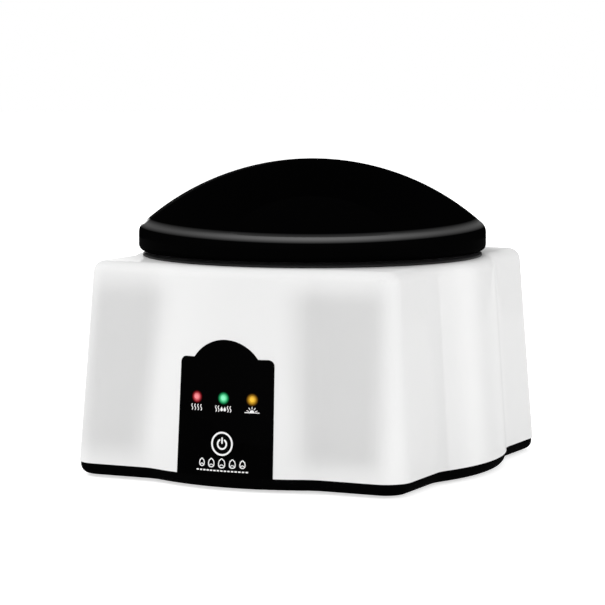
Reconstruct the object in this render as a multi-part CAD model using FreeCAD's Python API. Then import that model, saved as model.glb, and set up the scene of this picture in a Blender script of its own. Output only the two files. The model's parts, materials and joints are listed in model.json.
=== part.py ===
"""Tabletop steam machine that loosens gel nail polish.

A lobed white housing stands on a black tray. A round collar in its top carries a heated bowl, and a lift-out
cup, a finger plate with five holes and a domed lid stack above it. A curved control panel on the front lobe
holds three indicator lamps and one power key. A mains cord leaves the rear lobe and lies coiled behind.

Frame: millimetres, +Z up, -Y is the front. The origin is on the table, under the middle of the housing.
"""

import FreeCAD
import Part
import math
import os

V = FreeCAD.Vector
UP = V(0, 0, 1)
BACK = V(0, 1, 0)
ORIGIN = V(0, 0, 0)

# ---------------------------------------------------------------- driving sizes, in millimetres
SLIP = 0.2                  # clearance between parts that lift or slide past each other
SNUG = 0.1                  # clearance between fixed parts that locate each other
SCREW_GAP = 0.05            # a screw's shank stands this far from its pilot hole

# Housing: a leaning block, its plan a rectangle with rounded corners and one convex lobe on each side
HALF_WIDTH = 90.0
DEEPER = 4.2                # the housing's half depth is this much more than its half width
CORNER_SEAM_R = 13.0
CORNER_TOP_R = 9.0
LOBE_RISE = 10.1
LOBE_HALF = 49.0
LOBE_NOSE_R = 102.5
DRAFT = 0.069               # inward lean of the walls, millimetres per millimetre of height
WALL = 2.5
SHOULDER_R = 6.0
HOUSING_H = 100.8

# Feet and tray
FOOT_PROUD = 1.0
FOOT_R = 7.0
FOOT_T = 2.4
FOOT_EDGE_R = 0.4
FOOT_INSET = 35.0           # from the straight sides to each foot's centre
TRAY_H = 6.1
TRAY_FLOOR = 2.5
TRAY_EDGE_R = 4.5
PARTING_STEP = 0.6          # the tray stands back from the housing by this much
LIP_T = 1.6
LIP_H = 5.0
VENT_L = 30.0
VENT_W = 2.5
VENT_PITCH = 7.0
VENTS = 6
VENT_X = 33.0
VENT_Y = -47.0

# Closing screws, from below
CLOSING_INSET = 20.0        # from the straight sides to each screw
CLOSING_SCREW_R = 1.45
CLOSING_SCREW_L = 12.0
CLOSING_HEAD_R = 2.9
CLOSING_HEAD_H = 2.2
CLOSING_HEAD_ROOM = 0.5
CLOSING_BOSS_R = 4.6
CLOSING_BOSS_H = 8.5        # of the tray's bosses, over its floor
CLOSING_WEB = 2.5

# Small screws, the same everywhere inside
SMALL_SCREW_R = 1.1
SMALL_SCREW_L = 6.0
SMALL_HEAD_R = 2.1
SMALL_HEAD_H = 1.5

# Control panel
PANEL_HALF_TOP = 25.2
PANEL_HALF_FOOT = 26.0
PANEL_H = 57.2              # from the seam to the panel's shoulders
PANEL_CORNER_R = 3.0
ARCH_HALF = 17.2
ARCH_RISE = 9.0
PANEL_PROUD = 0.2
PANEL_FLANGE = 2.5          # the flange behind the wall reaches this far past the window
PANEL_FLANGE_T = 1.5
KEY_UP = 16.0               # from the seam to the key's centre
KEY_R = 6.6
KEY_TRAVEL = 0.8
KEY_PROUD = 0.2
KEY_EDGE_R = 0.4
KEY_FLANGE_W = 1.35
KEY_FLANGE_T = 1.0
KEY_STEM_R = 2.0
LAMP_UP = 22.45             # from the key's centre up the panel to the lamps
LAMP_PITCH = 15.0
LAMP_R = 1.6
LAMP_FLANGE_W = 0.9
LAMP_FLANGE_T = 0.9
LAMP_CROWN = 0.3
LAMP_EDGE_R = 0.6
CHIP_R = 1.5
CHIP_FLANGE_W = 0.3
CHIP_FLANGE_T = 0.8

# Control board, behind the panel
BOARD_T = 1.6
BOARD_BEHIND = 7.9          # from the panel's back to the front of the board
CONTROL_BOARD_HALF_W = 23.0
CONTROL_BOARD_LOW = 9.0     # below the key's centre
CONTROL_BOARD_HIGH = 38.0   # above it
POST_R = 2.6
POST_INSET = 4.0
SWITCH_W = 6.0
SWITCH_H = 3.5
PLUNGER_R = 1.75
PLUNGER_OUT = 1.3
RIBBON_X = -8.0
RIBBON_W = 12.0
RIBBON_T = 0.9
SOCKET_W = 14.0
SOCKET_D = 5.0
SOCKET_H = 6.0
SOCKET_UP = 4.0

# Collar
COLLAR_MARGIN = 3.0         # between the collar's lip and the housing's straight sides
COLLAR_LIP_W = 10.2
COLLAR_T = 2.0
COLLAR_RISE = 2.4
COLLAR_EDGE_R = 0.8
COLLAR_SEAT_W = 6.8         # of the lip's level seat, from the bore out to where it slopes down
COLLAR_RIM_H = 1.0          # of the lip's outer edge above the housing
COLLAR_RIM_EDGE_R = 0.4
LEDGE_DROP = 18.3           # from the collar's top to the underside of its ledge
LEDGE_T = 2.5
HOOKS = 6
HOOK_OUT = 1.5
HOOK_H = 2.0
HOOK_SPAN = 14.0

# Heating bowl, its gasket and the lift-out cup
BOWL_LEDGE_W = 11.6         # from the collar's bore in to the bowl's wall
BOWL_T = 1.5
BOWL_DEPTH = 33.5
BOWL_BEND_R = 8.0
BOWL_SCREWS = 4
BOWL_SCREW_INSET = 3.6      # from the collar's bore to each screw
BOWL_BOSS_R = 3.3
BOWL_BOSS_H = 8.0
GASKET_T = 1.0
GASKET_IN = 6.6             # from the collar's bore in to the gasket's outer edge
CUP_GAP = 2.7
CUP_T = 1.0
CUP_H = 26.0
CUP_BEND_R = 5.0
CUP_RIM_W = 2.6
CUP_BEAD_UP = 16.0
CUP_BEAD_R = 0.8
CUP_TAB_W = 16.0
CUP_TAB_L = 6.0
CUP_TAB_NOTCH_R = 4.0

# Finger plate
PLATE_GAP = 0.6
PLATE_T = 2.4
PLATE_CROWN = 4.0
PLATE_EDGE_DROP = 4.0       # the plate's edge lies this far under the collar's top
SKIRT_T = 2.0
SKIRT_GAP = 0.8             # between the skirt and the heads of the bowl's screws
FINGER_SHARE = 0.24         # a finger hole's radius as a share of the ring they stand on
FINGER_INSET = 15.2         # from the bowl's wall in to the ring of finger holes
FINGER_STEP_DEG = 40.0
FINGERS = 5
FINGER_BOSS_W = 2.2
FINGER_BOSS_UP = 1.0
SLEEVE_T = 2.0
SLEEVE_LIP_W = 1.5
SLEEVE_LIP_T = 1.1
SLEEVE_EDGE_R = 0.4
NOTCH_R = 9.0
NOTCH_IN = 3.0

# Heater stack under the bowl
PAD_T = 0.5
HEATER_INSET = 21.2         # from the bowl's wall in to the heater's edge
HEATER_T = 5.0
HEATER_BLOCK_W = 12.0
HEATER_BLOCK_L = 5.0
HEATER_LEAD_X = 8.0
HEATER_LEAD_PITCH = 5.0
CLAMP_T = 1.2
CLAMP_INSET = 8.0           # from the heater's edge in to the clamp plate's
CLAMP_ARM_W = 12.0
STUDS = 3
STUD_INSET = 11.2           # from the bowl's wall in to the studs
STUD_BOSS_R = 4.0
STUD_BOSS_H = 3.0
STUD_R = 1.5
SPACER_R = 3.2
SPACER_L = 9.0
SHIELD_GAP = 3.7            # the shield's rim stands this far inside the bowl's wall
SHIELD_T = 0.8
SHIELD_RIM = 5.0
THERMOSTAT_R = 8.0
THERMOSTAT_H = 9.0
THERMOSTAT_FLANGE_W = 2.0
THERMOSTAT_FLANGE_T = 1.0
THERMOSTAT_ROOM = 3.0       # between its flange and the heater's central hole
TAB_T = 0.8
TAB_W = 6.0
TAB_L = 4.0
TAB_PITCH = 8.0
CUTOUT_R = 2.0
CUTOUT_L = 11.0
CUTOUT_SADDLE = 1.0

# Lid
LID_OVERHANG = 2.1          # the lid reaches this far past the collar's lip
LID_GAP = 0.3               # the lid's rim floats this far over the collar's top
LID_RIM_H = 11.7
LID_CAP_H = 34.7
LID_WALL = 2.5
LID_EDGE_R = 2.8
LID_SHOULDER_R = 6.0
LINER_UP = 1.5              # the liner's flange lies this far above the lid's bottom
LINER_T = 1.6
LINER_FLANGE_W = 22.4
LINER_SKIRT_GAP = 1.0       # between the liner's skirt and the collar's bore
LINER_SKIRT_T = 1.6
LINER_SKIRT_L = 4.6
LINER_CROWN = 20.0
LID_SCREWS = 4
LID_BOSS_R = 3.4
LID_BOSS_GAP = 1.3          # between the lid's bosses and the liner's skirt
SEAL_W = 3.0
SEAL_GAP = 0.2
SEAL_IN = 4.6               # from the collar's bore out to the middle of the seal

# Power board, on posts on the tray's floor
POWER_W = 84.0
POWER_D = 58.0
POWER_BACK = 72.2           # from the housing's straight rear to the middle of the board
POWER_STANDOFF = 6.0
POWER_POST_R = 3.0
POWER_POST_INSET = 4.5
BOARD_MARGIN = 1.0
TRANSFORMER_X = -17.0
TRANSFORMER_UP = 25.0       # from the board's front edge
CORE_W = 26.0
CORE_D = 12.0
CORE_H = 20.0
BOBBIN_W = 16.0
BOBBIN_D = 22.0
BOBBIN_H = 14.0
RELAY_X = 8.0
RELAY_UP = 23.0             # from the board's front edge
RELAY_W = 15.0
RELAY_D = 19.0
RELAY_H = 15.5
TERMINAL_W = 24.0
TERMINAL_D = 10.0
TERMINAL_H = 11.0
TERMINAL_PITCH = 7.5
TERMINAL_BORE_L = 5.0
TERMINAL_BORE_UP = 4.0
TERMINAL_SCREW_R = 2.0
TERMINAL_SCREW_DEPTH = 4.0
SIDE_INSET = 12.0           # from the board's side edges to the parts that stand in a row there
FILM_W = 16.0
FILM_D = 8.0
FILM_H = 12.0
BIG_CAN_R = 5.0
BIG_CAN_H = 14.0
SMALL_CAN_R = 4.0
SMALL_CAN_H = 11.0
FUSE_R = 2.6
FUSE_L = 20.0
FUSE_UP = 4.0
FUSE_CLIP_W = 3.0
FUSE_CLIP_D = 6.0
FUSE_CLIP_PITCH = 14.0
CHOKE_R = 5.5
CHOKE_BORE_R = 2.5
CHOKE_H = 7.0
LEAD_R = 1.0
LEAD_BUNDLE = 0.28          # at the cord's sheath the leads lie this share of the terminal pitch apart
LEAD_LOOP = 6.0

# Mains cord
CORD_R = 3.25
CORD_Z = 19.0
GLAND_FLANGE_R = 8.0
GLAND_FLANGE_T = 2.0
GLAND_NECK_R = 5.6
BOOT_L = 24.0
BOOT_ROOT_R = 6.4
BOOT_TIP_R = 4.8
RIB_W = 2.4
RIB_DEPTH = 1.1
RIB_BRIDGE = 1.6
CLAMP_BAR_W = 24.0
CLAMP_BAR_D = 8.0
CLAMP_BAR_H = 5.0
CLAMP_BAR_IN = 30.0         # from the rear lobe to the middle of the clamp
CLAMP_SCREW_X = 8.0
FLEX_PAST_CLAMP = 4.0
COIL_X = -30.0
COIL_BACK = 63.7            # from the end of the gland to the coil's centre
COIL_MEAN_R = 39.0
COIL_LAYER_UP = 5.9         # the second layer of turns lies this far above the first
TIE_W = 7.0
TIE_T = 0.5
TIE_ANGLE = -60.0
LEAD_ROUTE = [              # from the gland down to the coil, y from the end of the gland, chosen by hand
    (0.0, 0.0, 19.0), (0.0, 9.5, 19.0), (1.6, 20.7, 16.8), (4.9, 31.4, 11.5),
    (8.8, 42.1, 6.6), (11.4, 53.6, 4.3), (12.3, 64.5, 3.9),
]
TAIL_ROUTE = [              # from the top of the coil to the plug, y from the end of the gland
    (-24.0, 106.0, 9.8), (-37.0, 106.0, 9.0), (-49.7, 104.2, 6.8), (-61.7, 99.9, 4.4),
    (-72.6, 92.7, 3.6), (-81.3, 82.9, 4.4), (-87.4, 71.3, 6.5), (-90.0, 58.9, 8.2),
    (-90.0, 46.7, 8.2),
]

# Plug, face up on the table
PLUG_X = -90.0
PLUG_AHEAD = 7.3            # the plug's centre lies this far in front of the end of the gland
PLUG_R = 18.5
PLUG_H = 27.0
PLUG_RIM_R = 1.2
PLUG_BEVEL = 3.0
NECK_ROOT_HALF = 15.2
NECK_TIP_HALF = 8.5
NECK_L = 30.0
NECK_EDGE_R = 2.0
PLUG_BOOT_Z = 8.2
PLUG_BOOT_ROOT_R = 7.4
PIN_R = 2.4
PIN_L = 19.0
PIN_PITCH = 19.0
PIN_TIP_R = 1.4
PIN_TENON_R = 1.6
PIN_TENON_L = 5.0
EARTH_W = 8.0
EARTH_DEPTH = 3.0
EARTH_L = 15.0
EARTH_T = 0.8
EARTH_HOLE_R = 2.6
EARTH_HOLE_Y = -10.0
EARTH_HOLE_DEPTH = 17.0

# ---------------------------------------------------------------- levels, places and radii that follow
TRAY_Z = FOOT_PROUD
FLOOR_Z = TRAY_Z + TRAY_FLOOR
SEAM_Z = TRAY_Z + TRAY_H
TOP_Z = SEAM_Z + HOUSING_H
HALF_DEPTH = HALF_WIDTH + DEEPER
FOOT_X = HALF_WIDTH - FOOT_INSET
FOOT_Y = HALF_DEPTH - FOOT_INSET
CLOSING_X = HALF_WIDTH - CLOSING_INSET
CLOSING_Y = HALF_DEPTH - CLOSING_INSET
CLOSING_BOSS_TOP = FLOOR_Z + CLOSING_BOSS_H

LEAN_DEG = math.degrees(math.atan(DRAFT))
LOBE_AXIS_Y = -(HALF_DEPTH + LOBE_RISE - LOBE_NOSE_R)
LOBE_SPAN = (LOBE_HALF ** 2 + LOBE_RISE ** 2) / (2 * LOBE_RISE)
LOBE_VALLEY_R = LOBE_SPAN - LOBE_NOSE_R
LOBE_ANGLE = math.asin(LOBE_HALF / LOBE_SPAN)

PANEL_BACK = WALL + SNUG + PANEL_FLANGE_T
KEY_Z = SEAM_Z + KEY_UP
KEY_FLANGE_R = KEY_R + KEY_FLANGE_W
LAMP_FLANGE_R = LAMP_R + LAMP_FLANGE_W
LAMP_XS = (-LAMP_PITCH, 0.0, LAMP_PITCH)
BOARD_FACE = -(PANEL_BACK + BOARD_BEHIND)   # front of the control board, in the panel's own frame
BOARD_BACK = BOARD_FACE - BOARD_T
POSTS = [(x, up) for x in (POST_INSET - CONTROL_BOARD_HALF_W, CONTROL_BOARD_HALF_W - POST_INSET)
         for up in (POST_INSET - CONTROL_BOARD_LOW, CONTROL_BOARD_HIGH - POST_INSET)]

COLLAR_TOP_Z = TOP_Z + COLLAR_RISE
COLLAR_OUT_R = HALF_WIDTH - COLLAR_MARGIN
COLLAR_BORE_R = COLLAR_OUT_R - COLLAR_LIP_W
COLLAR_BARREL_R = COLLAR_BORE_R + COLLAR_T
OPENING_R = COLLAR_BARREL_R + SLIP
LEDGE_Z = COLLAR_TOP_Z - LEDGE_DROP
BOWL_R = COLLAR_BORE_R - BOWL_LEDGE_W
LEDGE_R = BOWL_R + BOWL_T + SLIP
GASKET_Z = LEDGE_Z + LEDGE_T
GASKET_R = COLLAR_BORE_R - GASKET_IN
BOWL_FLANGE_Z = GASKET_Z + GASKET_T
BOWL_RIM_Z = BOWL_FLANGE_Z + BOWL_T
BOWL_FLOOR_Z = BOWL_RIM_Z - BOWL_DEPTH
BOWL_UNDER_Z = BOWL_FLOOR_Z - BOWL_T
BOWL_SCREW_RING = COLLAR_BORE_R - BOWL_SCREW_INSET
CUP_R = BOWL_R - CUP_GAP - CUP_T
CUP_FLOOR_Z = BOWL_FLOOR_Z + SLIP + CUP_T
CUP_RIM_Z = CUP_FLOOR_Z + CUP_H

PLATE_EDGE_Z = COLLAR_TOP_Z - PLATE_EDGE_DROP
PLATE_R = COLLAR_BORE_R - PLATE_GAP
PLATE_DOME_R = (PLATE_R ** 2 + PLATE_CROWN ** 2) / (2 * PLATE_CROWN)
PLATE_DOME_Z = PLATE_EDGE_Z + PLATE_CROWN - PLATE_DOME_R
SKIRT_R = BOWL_SCREW_RING - SMALL_HEAD_R - SKIRT_GAP
FINGER_RING = BOWL_R - FINGER_INSET
FINGER_R = FINGER_SHARE * FINGER_RING

STUD_RING = BOWL_R - STUD_INSET
HEATER_R = BOWL_R - HEATER_INSET
CLAMP_R = HEATER_R - CLAMP_INSET
HEATER_HOLE_R = THERMOSTAT_R + THERMOSTAT_FLANGE_W + THERMOSTAT_ROOM
HEATER_TOP_Z = BOWL_UNDER_Z - PAD_T
HEATER_LOW_Z = HEATER_TOP_Z - HEATER_T
CLAMP_Z = HEATER_LOW_Z - CLAMP_T
SHIELD_Z = CLAMP_Z - SPACER_L - SHIELD_T
SHIELD_R = BOWL_R + BOWL_T - SHIELD_GAP

LID_R = COLLAR_OUT_R + LID_OVERHANG
LID_BOTTOM_Z = COLLAR_TOP_Z + LID_GAP
LID_SHOULDER_Z = LID_BOTTOM_Z + LID_RIM_H
LID_TOP_Z = LID_SHOULDER_Z + LID_CAP_H
LID_DOME_R = (LID_R ** 2 + LID_CAP_H ** 2) / (2 * LID_CAP_H)
LID_DOME_Z = LID_TOP_Z - LID_DOME_R
LINER_Z = LID_BOTTOM_Z + LINER_UP
LINER_R = LID_R - LID_WALL - SLIP
LINER_DOME_EDGE_R = LINER_R - LINER_FLANGE_W
LINER_SKIRT_R = COLLAR_BORE_R - LINER_SKIRT_GAP
LID_SCREW_RING = LINER_SKIRT_R - LINER_SKIRT_T - LID_BOSS_GAP - LID_BOSS_R
SEAL_R = COLLAR_BORE_R + SEAL_IN

POWER_Y = HALF_DEPTH - POWER_BACK
POWER_Z = FLOOR_Z + POWER_STANDOFF
POWER_TOP = POWER_Z + BOARD_T
POWER_REAR_Y = POWER_Y + POWER_D / 2
POWER_FRONT_Y = POWER_Y - POWER_D / 2
TERMINAL_Y = POWER_REAR_Y - TERMINAL_D / 2 - BOARD_MARGIN
TERMINAL_WIRE_Z = POWER_TOP + TERMINAL_BORE_UP
RELAY_Y = POWER_FRONT_Y + RELAY_UP
RELAY_FRONT_Y = RELAY_Y - RELAY_D / 2
SIDE_X = POWER_W / 2 - SIDE_INSET

GLAND_Y = HALF_DEPTH + LOBE_RISE
GLAND_END_Y = GLAND_Y + GLAND_FLANGE_T + BOOT_L
CLAMP_BAR_Y = GLAND_Y - CLAMP_BAR_IN
FLEX_START_Y = CLAMP_BAR_Y - CLAMP_BAR_D / 2 - FLEX_PAST_CLAMP
COIL_Y = GLAND_END_Y + COIL_BACK
PLUG_Y = GLAND_END_Y - PLUG_AHEAD
COIL_OUT_R = COIL_MEAN_R + 2 * CORD_R + SNUG
COIL_IN_R = COIL_MEAN_R - 2 * CORD_R - SNUG
COIL_Z = TIE_T + SNUG
COIL_H = COIL_LAYER_UP + 2 * CORD_R + SLIP


# ---------------------------------------------------------------- helpers
def cylinder(radius, height, at=ORIGIN, along=UP):
    return Part.makeCylinder(radius, height, at, along)


def ring(outer, inner, height, z):
    at = V(0, 0, z)
    return cylinder(outer, height, at).cut(cylinder(inner, height, at))


def box(width, depth, height, x, y, z):
    """A block centred on x and y, standing on z."""
    return Part.makeBox(width, depth, height, V(x - width / 2, y - depth / 2, z))


def fuse(first, *others):
    return first.fuse(list(others)).removeSplitter()


def cut_all(shape, tools):
    return shape.cut(list(tools))


def revolve(points):
    """A solid of revolution about Z. Each entry is (r, z), or a middle point and an end point of an arc."""
    edges = []
    last = None
    for entry in points + points[:1]:
        if isinstance(entry[0], tuple):
            middle, end = (V(r, 0, z) for r, z in entry)
            edges.append(Part.Arc(last, middle, end).toShape())
            last = end
        else:
            point = V(entry[0], 0, entry[1])
            if last is not None and last.distanceToPoint(point) > 1e-6:
                edges.append(Part.LineSegment(last, point).toShape())
            last = point
    return Part.Face(Part.Wire(edges)).revolve(ORIGIN, UP, 360)


def on_circle(count, radius, start_deg=0.0):
    angles = [math.radians(start_deg + 360.0 * i / count) for i in range(count)]
    return [(radius * math.cos(a), radius * math.sin(a)) for a in angles]


def corners(x, y, centre_y=0.0):
    return [(sx * x, centre_y + sy * y) for sx in (-1, 1) for sy in (-1, 1)]


def screw(shank_r, length, head_r, head_h, at, along):
    """A pan-head screw: at is the point under its head, and along is the way its shank goes."""
    head = cylinder(head_r, head_h, at - along * head_h, along)
    return fuse(head, cylinder(shank_r, length, at, along))


def small_screw(at, along, length=SMALL_SCREW_L):
    return screw(SMALL_SCREW_R, length, SMALL_HEAD_R, SMALL_HEAD_H, at, along)


def small_pilot(at, along, depth=SMALL_SCREW_L):
    return cylinder(SMALL_SCREW_R + SCREW_GAP, depth, at, along)


def level_edges(shape, z, tolerance=1e-3):
    """The edges of a shape that lie wholly at height z."""
    low, high = z - tolerance, z + tolerance
    return [e for e in shape.Edges if e.BoundBox.ZMin > low and e.BoundBox.ZMax < high]


def tube(points, radius):
    """A round tube along straight runs, each corner an arc as large as its two runs allow."""
    nodes = [V(*p) for p in points]
    edges, start, radii = [], nodes[0], []
    for a, b, c in zip(nodes, nodes[1:], nodes[2:]):
        inward, outward = b - a, c - b
        turn = inward.getAngle(outward)
        bend = 0.45 * min(inward.Length, outward.Length) / math.tan(turn / 2)
        radii.append(bend)
        trim = bend * math.tan(turn / 2)
        inward.normalize()
        outward.normalize()
        leave, join = b - inward * trim, b + outward * trim
        towards = outward - inward
        towards.normalize()
        middle = b + towards * (bend / math.cos(turn / 2) - bend)
        edges += [Part.LineSegment(start, leave).toShape(), Part.Arc(leave, middle, join).toShape()]
        start = join
    edges.append(Part.LineSegment(start, nodes[-1]).toShape())
    path = Part.Wire(edges)
    circle = Part.Wire([Part.Circle(nodes[0], nodes[1] - nodes[0], radius).toShape()])
    return path.makePipeShell([circle], True, False), path.Length, radii


# ---------------------------------------------------------------- housing plan
def side_edges(side, along, inset, corner_r, z):
    """One side of the lobed outline, out along +X, with the corner that follows it."""
    flat, end = side - inset, along - inset - corner_r
    valley_x, valley_r = side + LOBE_VALLEY_R, LOBE_VALLEY_R + inset
    nose_x, nose_r = side + LOBE_RISE - LOBE_NOSE_R, LOBE_NOSE_R - inset

    def valley(angle, sign):
        return V(valley_x - valley_r * math.cos(angle), sign * (LOBE_HALF - valley_r * math.sin(angle)), z)

    def nose(angle):
        return V(nose_x + nose_r * math.cos(angle), nose_r * math.sin(angle), z)

    def corner(angle):
        return V(flat - corner_r + corner_r * math.cos(angle), end + corner_r * math.sin(angle), z)

    half = LOBE_ANGLE / 2
    pieces = [
        Part.LineSegment(V(flat, -end, z), valley(0, -1)),
        Part.Arc(valley(0, -1), valley(half, -1), valley(LOBE_ANGLE, -1)),
        Part.Arc(nose(-LOBE_ANGLE), nose(0), nose(LOBE_ANGLE)),
        Part.Arc(valley(LOBE_ANGLE, 1), valley(half, 1), valley(0, 1)),
        Part.LineSegment(valley(0, 1), V(flat, end, z)),
        Part.Arc(corner(0), corner(math.pi / 4), corner(math.pi / 2)),
    ]
    return [piece.toShape() for piece in pieces]


def plan(inset, corner_r, z):
    """The lobed outline at height z, drawn inset from the outline at the seam."""
    edges = []
    for quarter in range(4):
        side, along = (HALF_WIDTH, HALF_DEPTH) if quarter % 2 == 0 else (HALF_DEPTH, HALF_WIDTH)
        for edge in side_edges(side, along, inset, corner_r, z):
            edge.rotate(ORIGIN, UP, 90 * quarter)
            edges.append(edge)
    return Part.Wire(edges)


def prism(inset, z, height):
    """A straight block with the seam's outline, inset all round."""
    return Part.Face(plan(inset, CORNER_SEAM_R - inset, z)).extrude(V(0, 0, height))


def body_block(inset, top_z, shoulder_r):
    """The leaning, lobed block that is the housing's outside, or, with an inset, its inside."""
    low = plan(inset, CORNER_SEAM_R - inset, SEAM_Z)
    high = plan(inset + DRAFT * (top_z - SEAM_Z), CORNER_TOP_R - inset, top_z)
    block = Part.makeLoft([low, high], True, True)
    return block.makeFillet(shoulder_r, level_edges(block, top_z))


def outer_block():
    return body_block(0.0, TOP_Z, SHOULDER_R)


def inner_block():
    return body_block(WALL, TOP_Z - WALL, SHOULDER_R - WALL)


# ---------------------------------------------------------------- the front lobe and what is on it
def lobe_cone(offset):
    """The round cone that the front lobe's nose is part of, moved inwards by offset."""
    low_r = LOBE_NOSE_R - offset
    return Part.makeCone(low_r, low_r - DRAFT * HOUSING_H, HOUSING_H, V(0, LOBE_AXIS_Y, SEAM_Z))


def lobe_shell(outer, inner):
    return lobe_cone(outer).cut(lobe_cone(inner))


def lobe_fall(x):
    """How far the curved panel falls back at x, at the height of the lamps."""
    radius = LOBE_NOSE_R - DRAFT * (KEY_UP + LAMP_UP)
    return radius - math.sqrt(radius ** 2 - x ** 2)


def panel_prism(grow, foot_z):
    """The arched outline of the panel, grown all round, as a bar that runs through the front wall."""
    shoulder_z = SEAM_Z + PANEL_H
    top, corner_r = shoulder_z + grow, PANEL_CORNER_R + grow
    half_top, half_foot = PANEL_HALF_TOP + grow, PANEL_HALF_FOOT + grow
    arch_r = (ARCH_HALF ** 2 + ARCH_RISE ** 2) / (2 * ARCH_RISE)
    arch_z = shoulder_z + ARCH_RISE - arch_r
    arch_r += grow
    arch_x = math.sqrt(arch_r ** 2 - (top - arch_z) ** 2)
    y = -(HALF_DEPTH + 2 * LOBE_RISE)
    bevel = corner_r * (1 - math.sqrt(0.5))

    def at(x, z):
        return V(x, y, z)

    def shoulder(side):
        below, round_middle = at(side * half_top, top - corner_r), at(side * (half_top - bevel), top - bevel)
        return below, round_middle, at(side * (half_top - corner_r), top)

    right, left = shoulder(1), shoulder(-1)
    edges = [
        Part.LineSegment(at(-half_foot, foot_z), at(half_foot, foot_z)),
        Part.LineSegment(at(half_foot, foot_z), right[0]),
        Part.Arc(*right),
        Part.LineSegment(right[2], at(arch_x, top)),
        Part.Arc(at(arch_x, top), at(0, arch_z + arch_r), at(-arch_x, top)),
        Part.LineSegment(at(-arch_x, top), left[2]),
        Part.Arc(*left[::-1]),
        Part.LineSegment(left[0], at(-half_foot, foot_z)),
    ]
    return Part.Face(Part.Wire([e.toShape() for e in edges])).extrude(BACK * (4 * LOBE_RISE))


def on_panel(shape, x=0.0, up=0.0):
    """Moves a shape from the panel's own frame: its Z points out of the panel, its Y up, 0 is at the key."""
    face_y = LOBE_AXIS_Y - LOBE_NOSE_R + DRAFT * KEY_UP
    moved = shape.copy()
    moved.translate(V(x, up, 0))
    moved.rotate(ORIGIN, V(1, 0, 0), 90 - LEAN_DEG)
    moved.translate(V(0, face_y, KEY_Z))
    return moved


def lamp_flange_z(x):
    """The rear face of a lamp's flange, whose front clears the curved panel by a slip."""
    return -PANEL_BACK - lobe_fall(abs(x) + LAMP_FLANGE_R) - SLIP - LAMP_FLANGE_T


def make_control_panel():
    foot_z = SEAM_Z + SNUG
    plate = lobe_shell(-PANEL_PROUD, WALL + SNUG).common(panel_prism(0.0, foot_z))
    flange = lobe_shell(WALL + SNUG, PANEL_BACK).common(panel_prism(PANEL_FLANGE, foot_z))
    behind = lobe_cone(WALL + SNUG)
    posts = [on_panel(cylinder(POST_R, -BOARD_FACE - WALL, V(x, up, BOARD_FACE))) for x, up in POSTS]
    panel = fuse(plate, flange, *[post.common(behind) for post in posts])
    through = 4 * PANEL_BACK
    holes = [on_panel(cylinder(KEY_R + SLIP, through, V(0, 0, -through / 2)))]
    holes += [on_panel(cylinder(LAMP_R + SNUG, through, V(0, 0, -through / 2)), x, LAMP_UP) for x in LAMP_XS]
    holes += [on_panel(small_pilot(V(x, up, BOARD_FACE), UP)) for x, up in POSTS]
    return [cut_all(panel, holes)]


def make_power_key():
    """A round key with a flange that the panel's curved back stops, and a stem down to its switch."""
    flange_z = -PANEL_BACK - lobe_fall(KEY_FLANGE_R) - SLIP - KEY_FLANGE_T
    face_z = PANEL_PROUD + KEY_PROUD
    cap = cylinder(KEY_R, face_z - flange_z, V(0, 0, flange_z))
    cap = cap.makeFillet(KEY_EDGE_R, level_edges(cap, face_z))
    flange = cylinder(KEY_FLANGE_R, KEY_FLANGE_T, V(0, 0, flange_z))
    stem_low = BOARD_FACE + SWITCH_H + PLUNGER_OUT
    return [on_panel(fuse(cap, flange, cylinder(KEY_STEM_R, flange_z - stem_low, V(0, 0, stem_low))))]


def make_switch_plunger():
    return [on_panel(cylinder(PLUNGER_R, 2 * PLUNGER_OUT, V(0, 0, BOARD_FACE + SWITCH_H - PLUNGER_OUT)))]


def make_switch_body():
    well = PLUNGER_OUT + KEY_TRAVEL + SLIP
    hole = cylinder(PLUNGER_R + SNUG, well, V(0, 0, BOARD_FACE + SWITCH_H - well))
    return [on_panel(box(SWITCH_W, SWITCH_W, SWITCH_H, 0, 0, BOARD_FACE).cut(hole))]


def make_lamp(x):
    """A lens that stands a little out of the panel, with a flange behind it."""
    flange_z, crown_z = lamp_flange_z(x), LAMP_CROWN + PANEL_PROUD - lobe_fall(x)
    pipe = cylinder(LAMP_R, crown_z - flange_z, V(0, 0, flange_z))
    pipe = pipe.makeFillet(LAMP_EDGE_R, level_edges(pipe, crown_z))
    return [on_panel(fuse(pipe, cylinder(LAMP_FLANGE_R, LAMP_FLANGE_T, V(0, 0, flange_z))), x, LAMP_UP)]


def make_lamp_chips():
    """A small lamp on the board behind each lens, with a flange round its foot."""
    chips = []
    for x in LAMP_XS:
        foot = cylinder(CHIP_R + CHIP_FLANGE_W, CHIP_FLANGE_T, V(0, 0, BOARD_FACE))
        body = cylinder(CHIP_R, lamp_flange_z(x) - SLIP - BOARD_FACE, V(0, 0, BOARD_FACE))
        chips.append(on_panel(fuse(foot, body), x, LAMP_UP))
    return chips


def make_control_board():
    height = CONTROL_BOARD_LOW + CONTROL_BOARD_HIGH
    board = box(2 * CONTROL_BOARD_HALF_W, height, BOARD_T, 0, height / 2 - CONTROL_BOARD_LOW, BOARD_BACK)
    holes = [cylinder(SMALL_SCREW_R + SLIP, BOARD_T, V(x, up, BOARD_BACK)) for x, up in POSTS]
    return [on_panel(cut_all(board, holes))]


def make_control_board_screws():
    return [on_panel(small_screw(V(x, up, BOARD_BACK), UP)) for x, up in POSTS]


# ---------------------------------------------------------------- housing and tray
def closing_places():
    return corners(CLOSING_X, CLOSING_Y)


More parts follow.
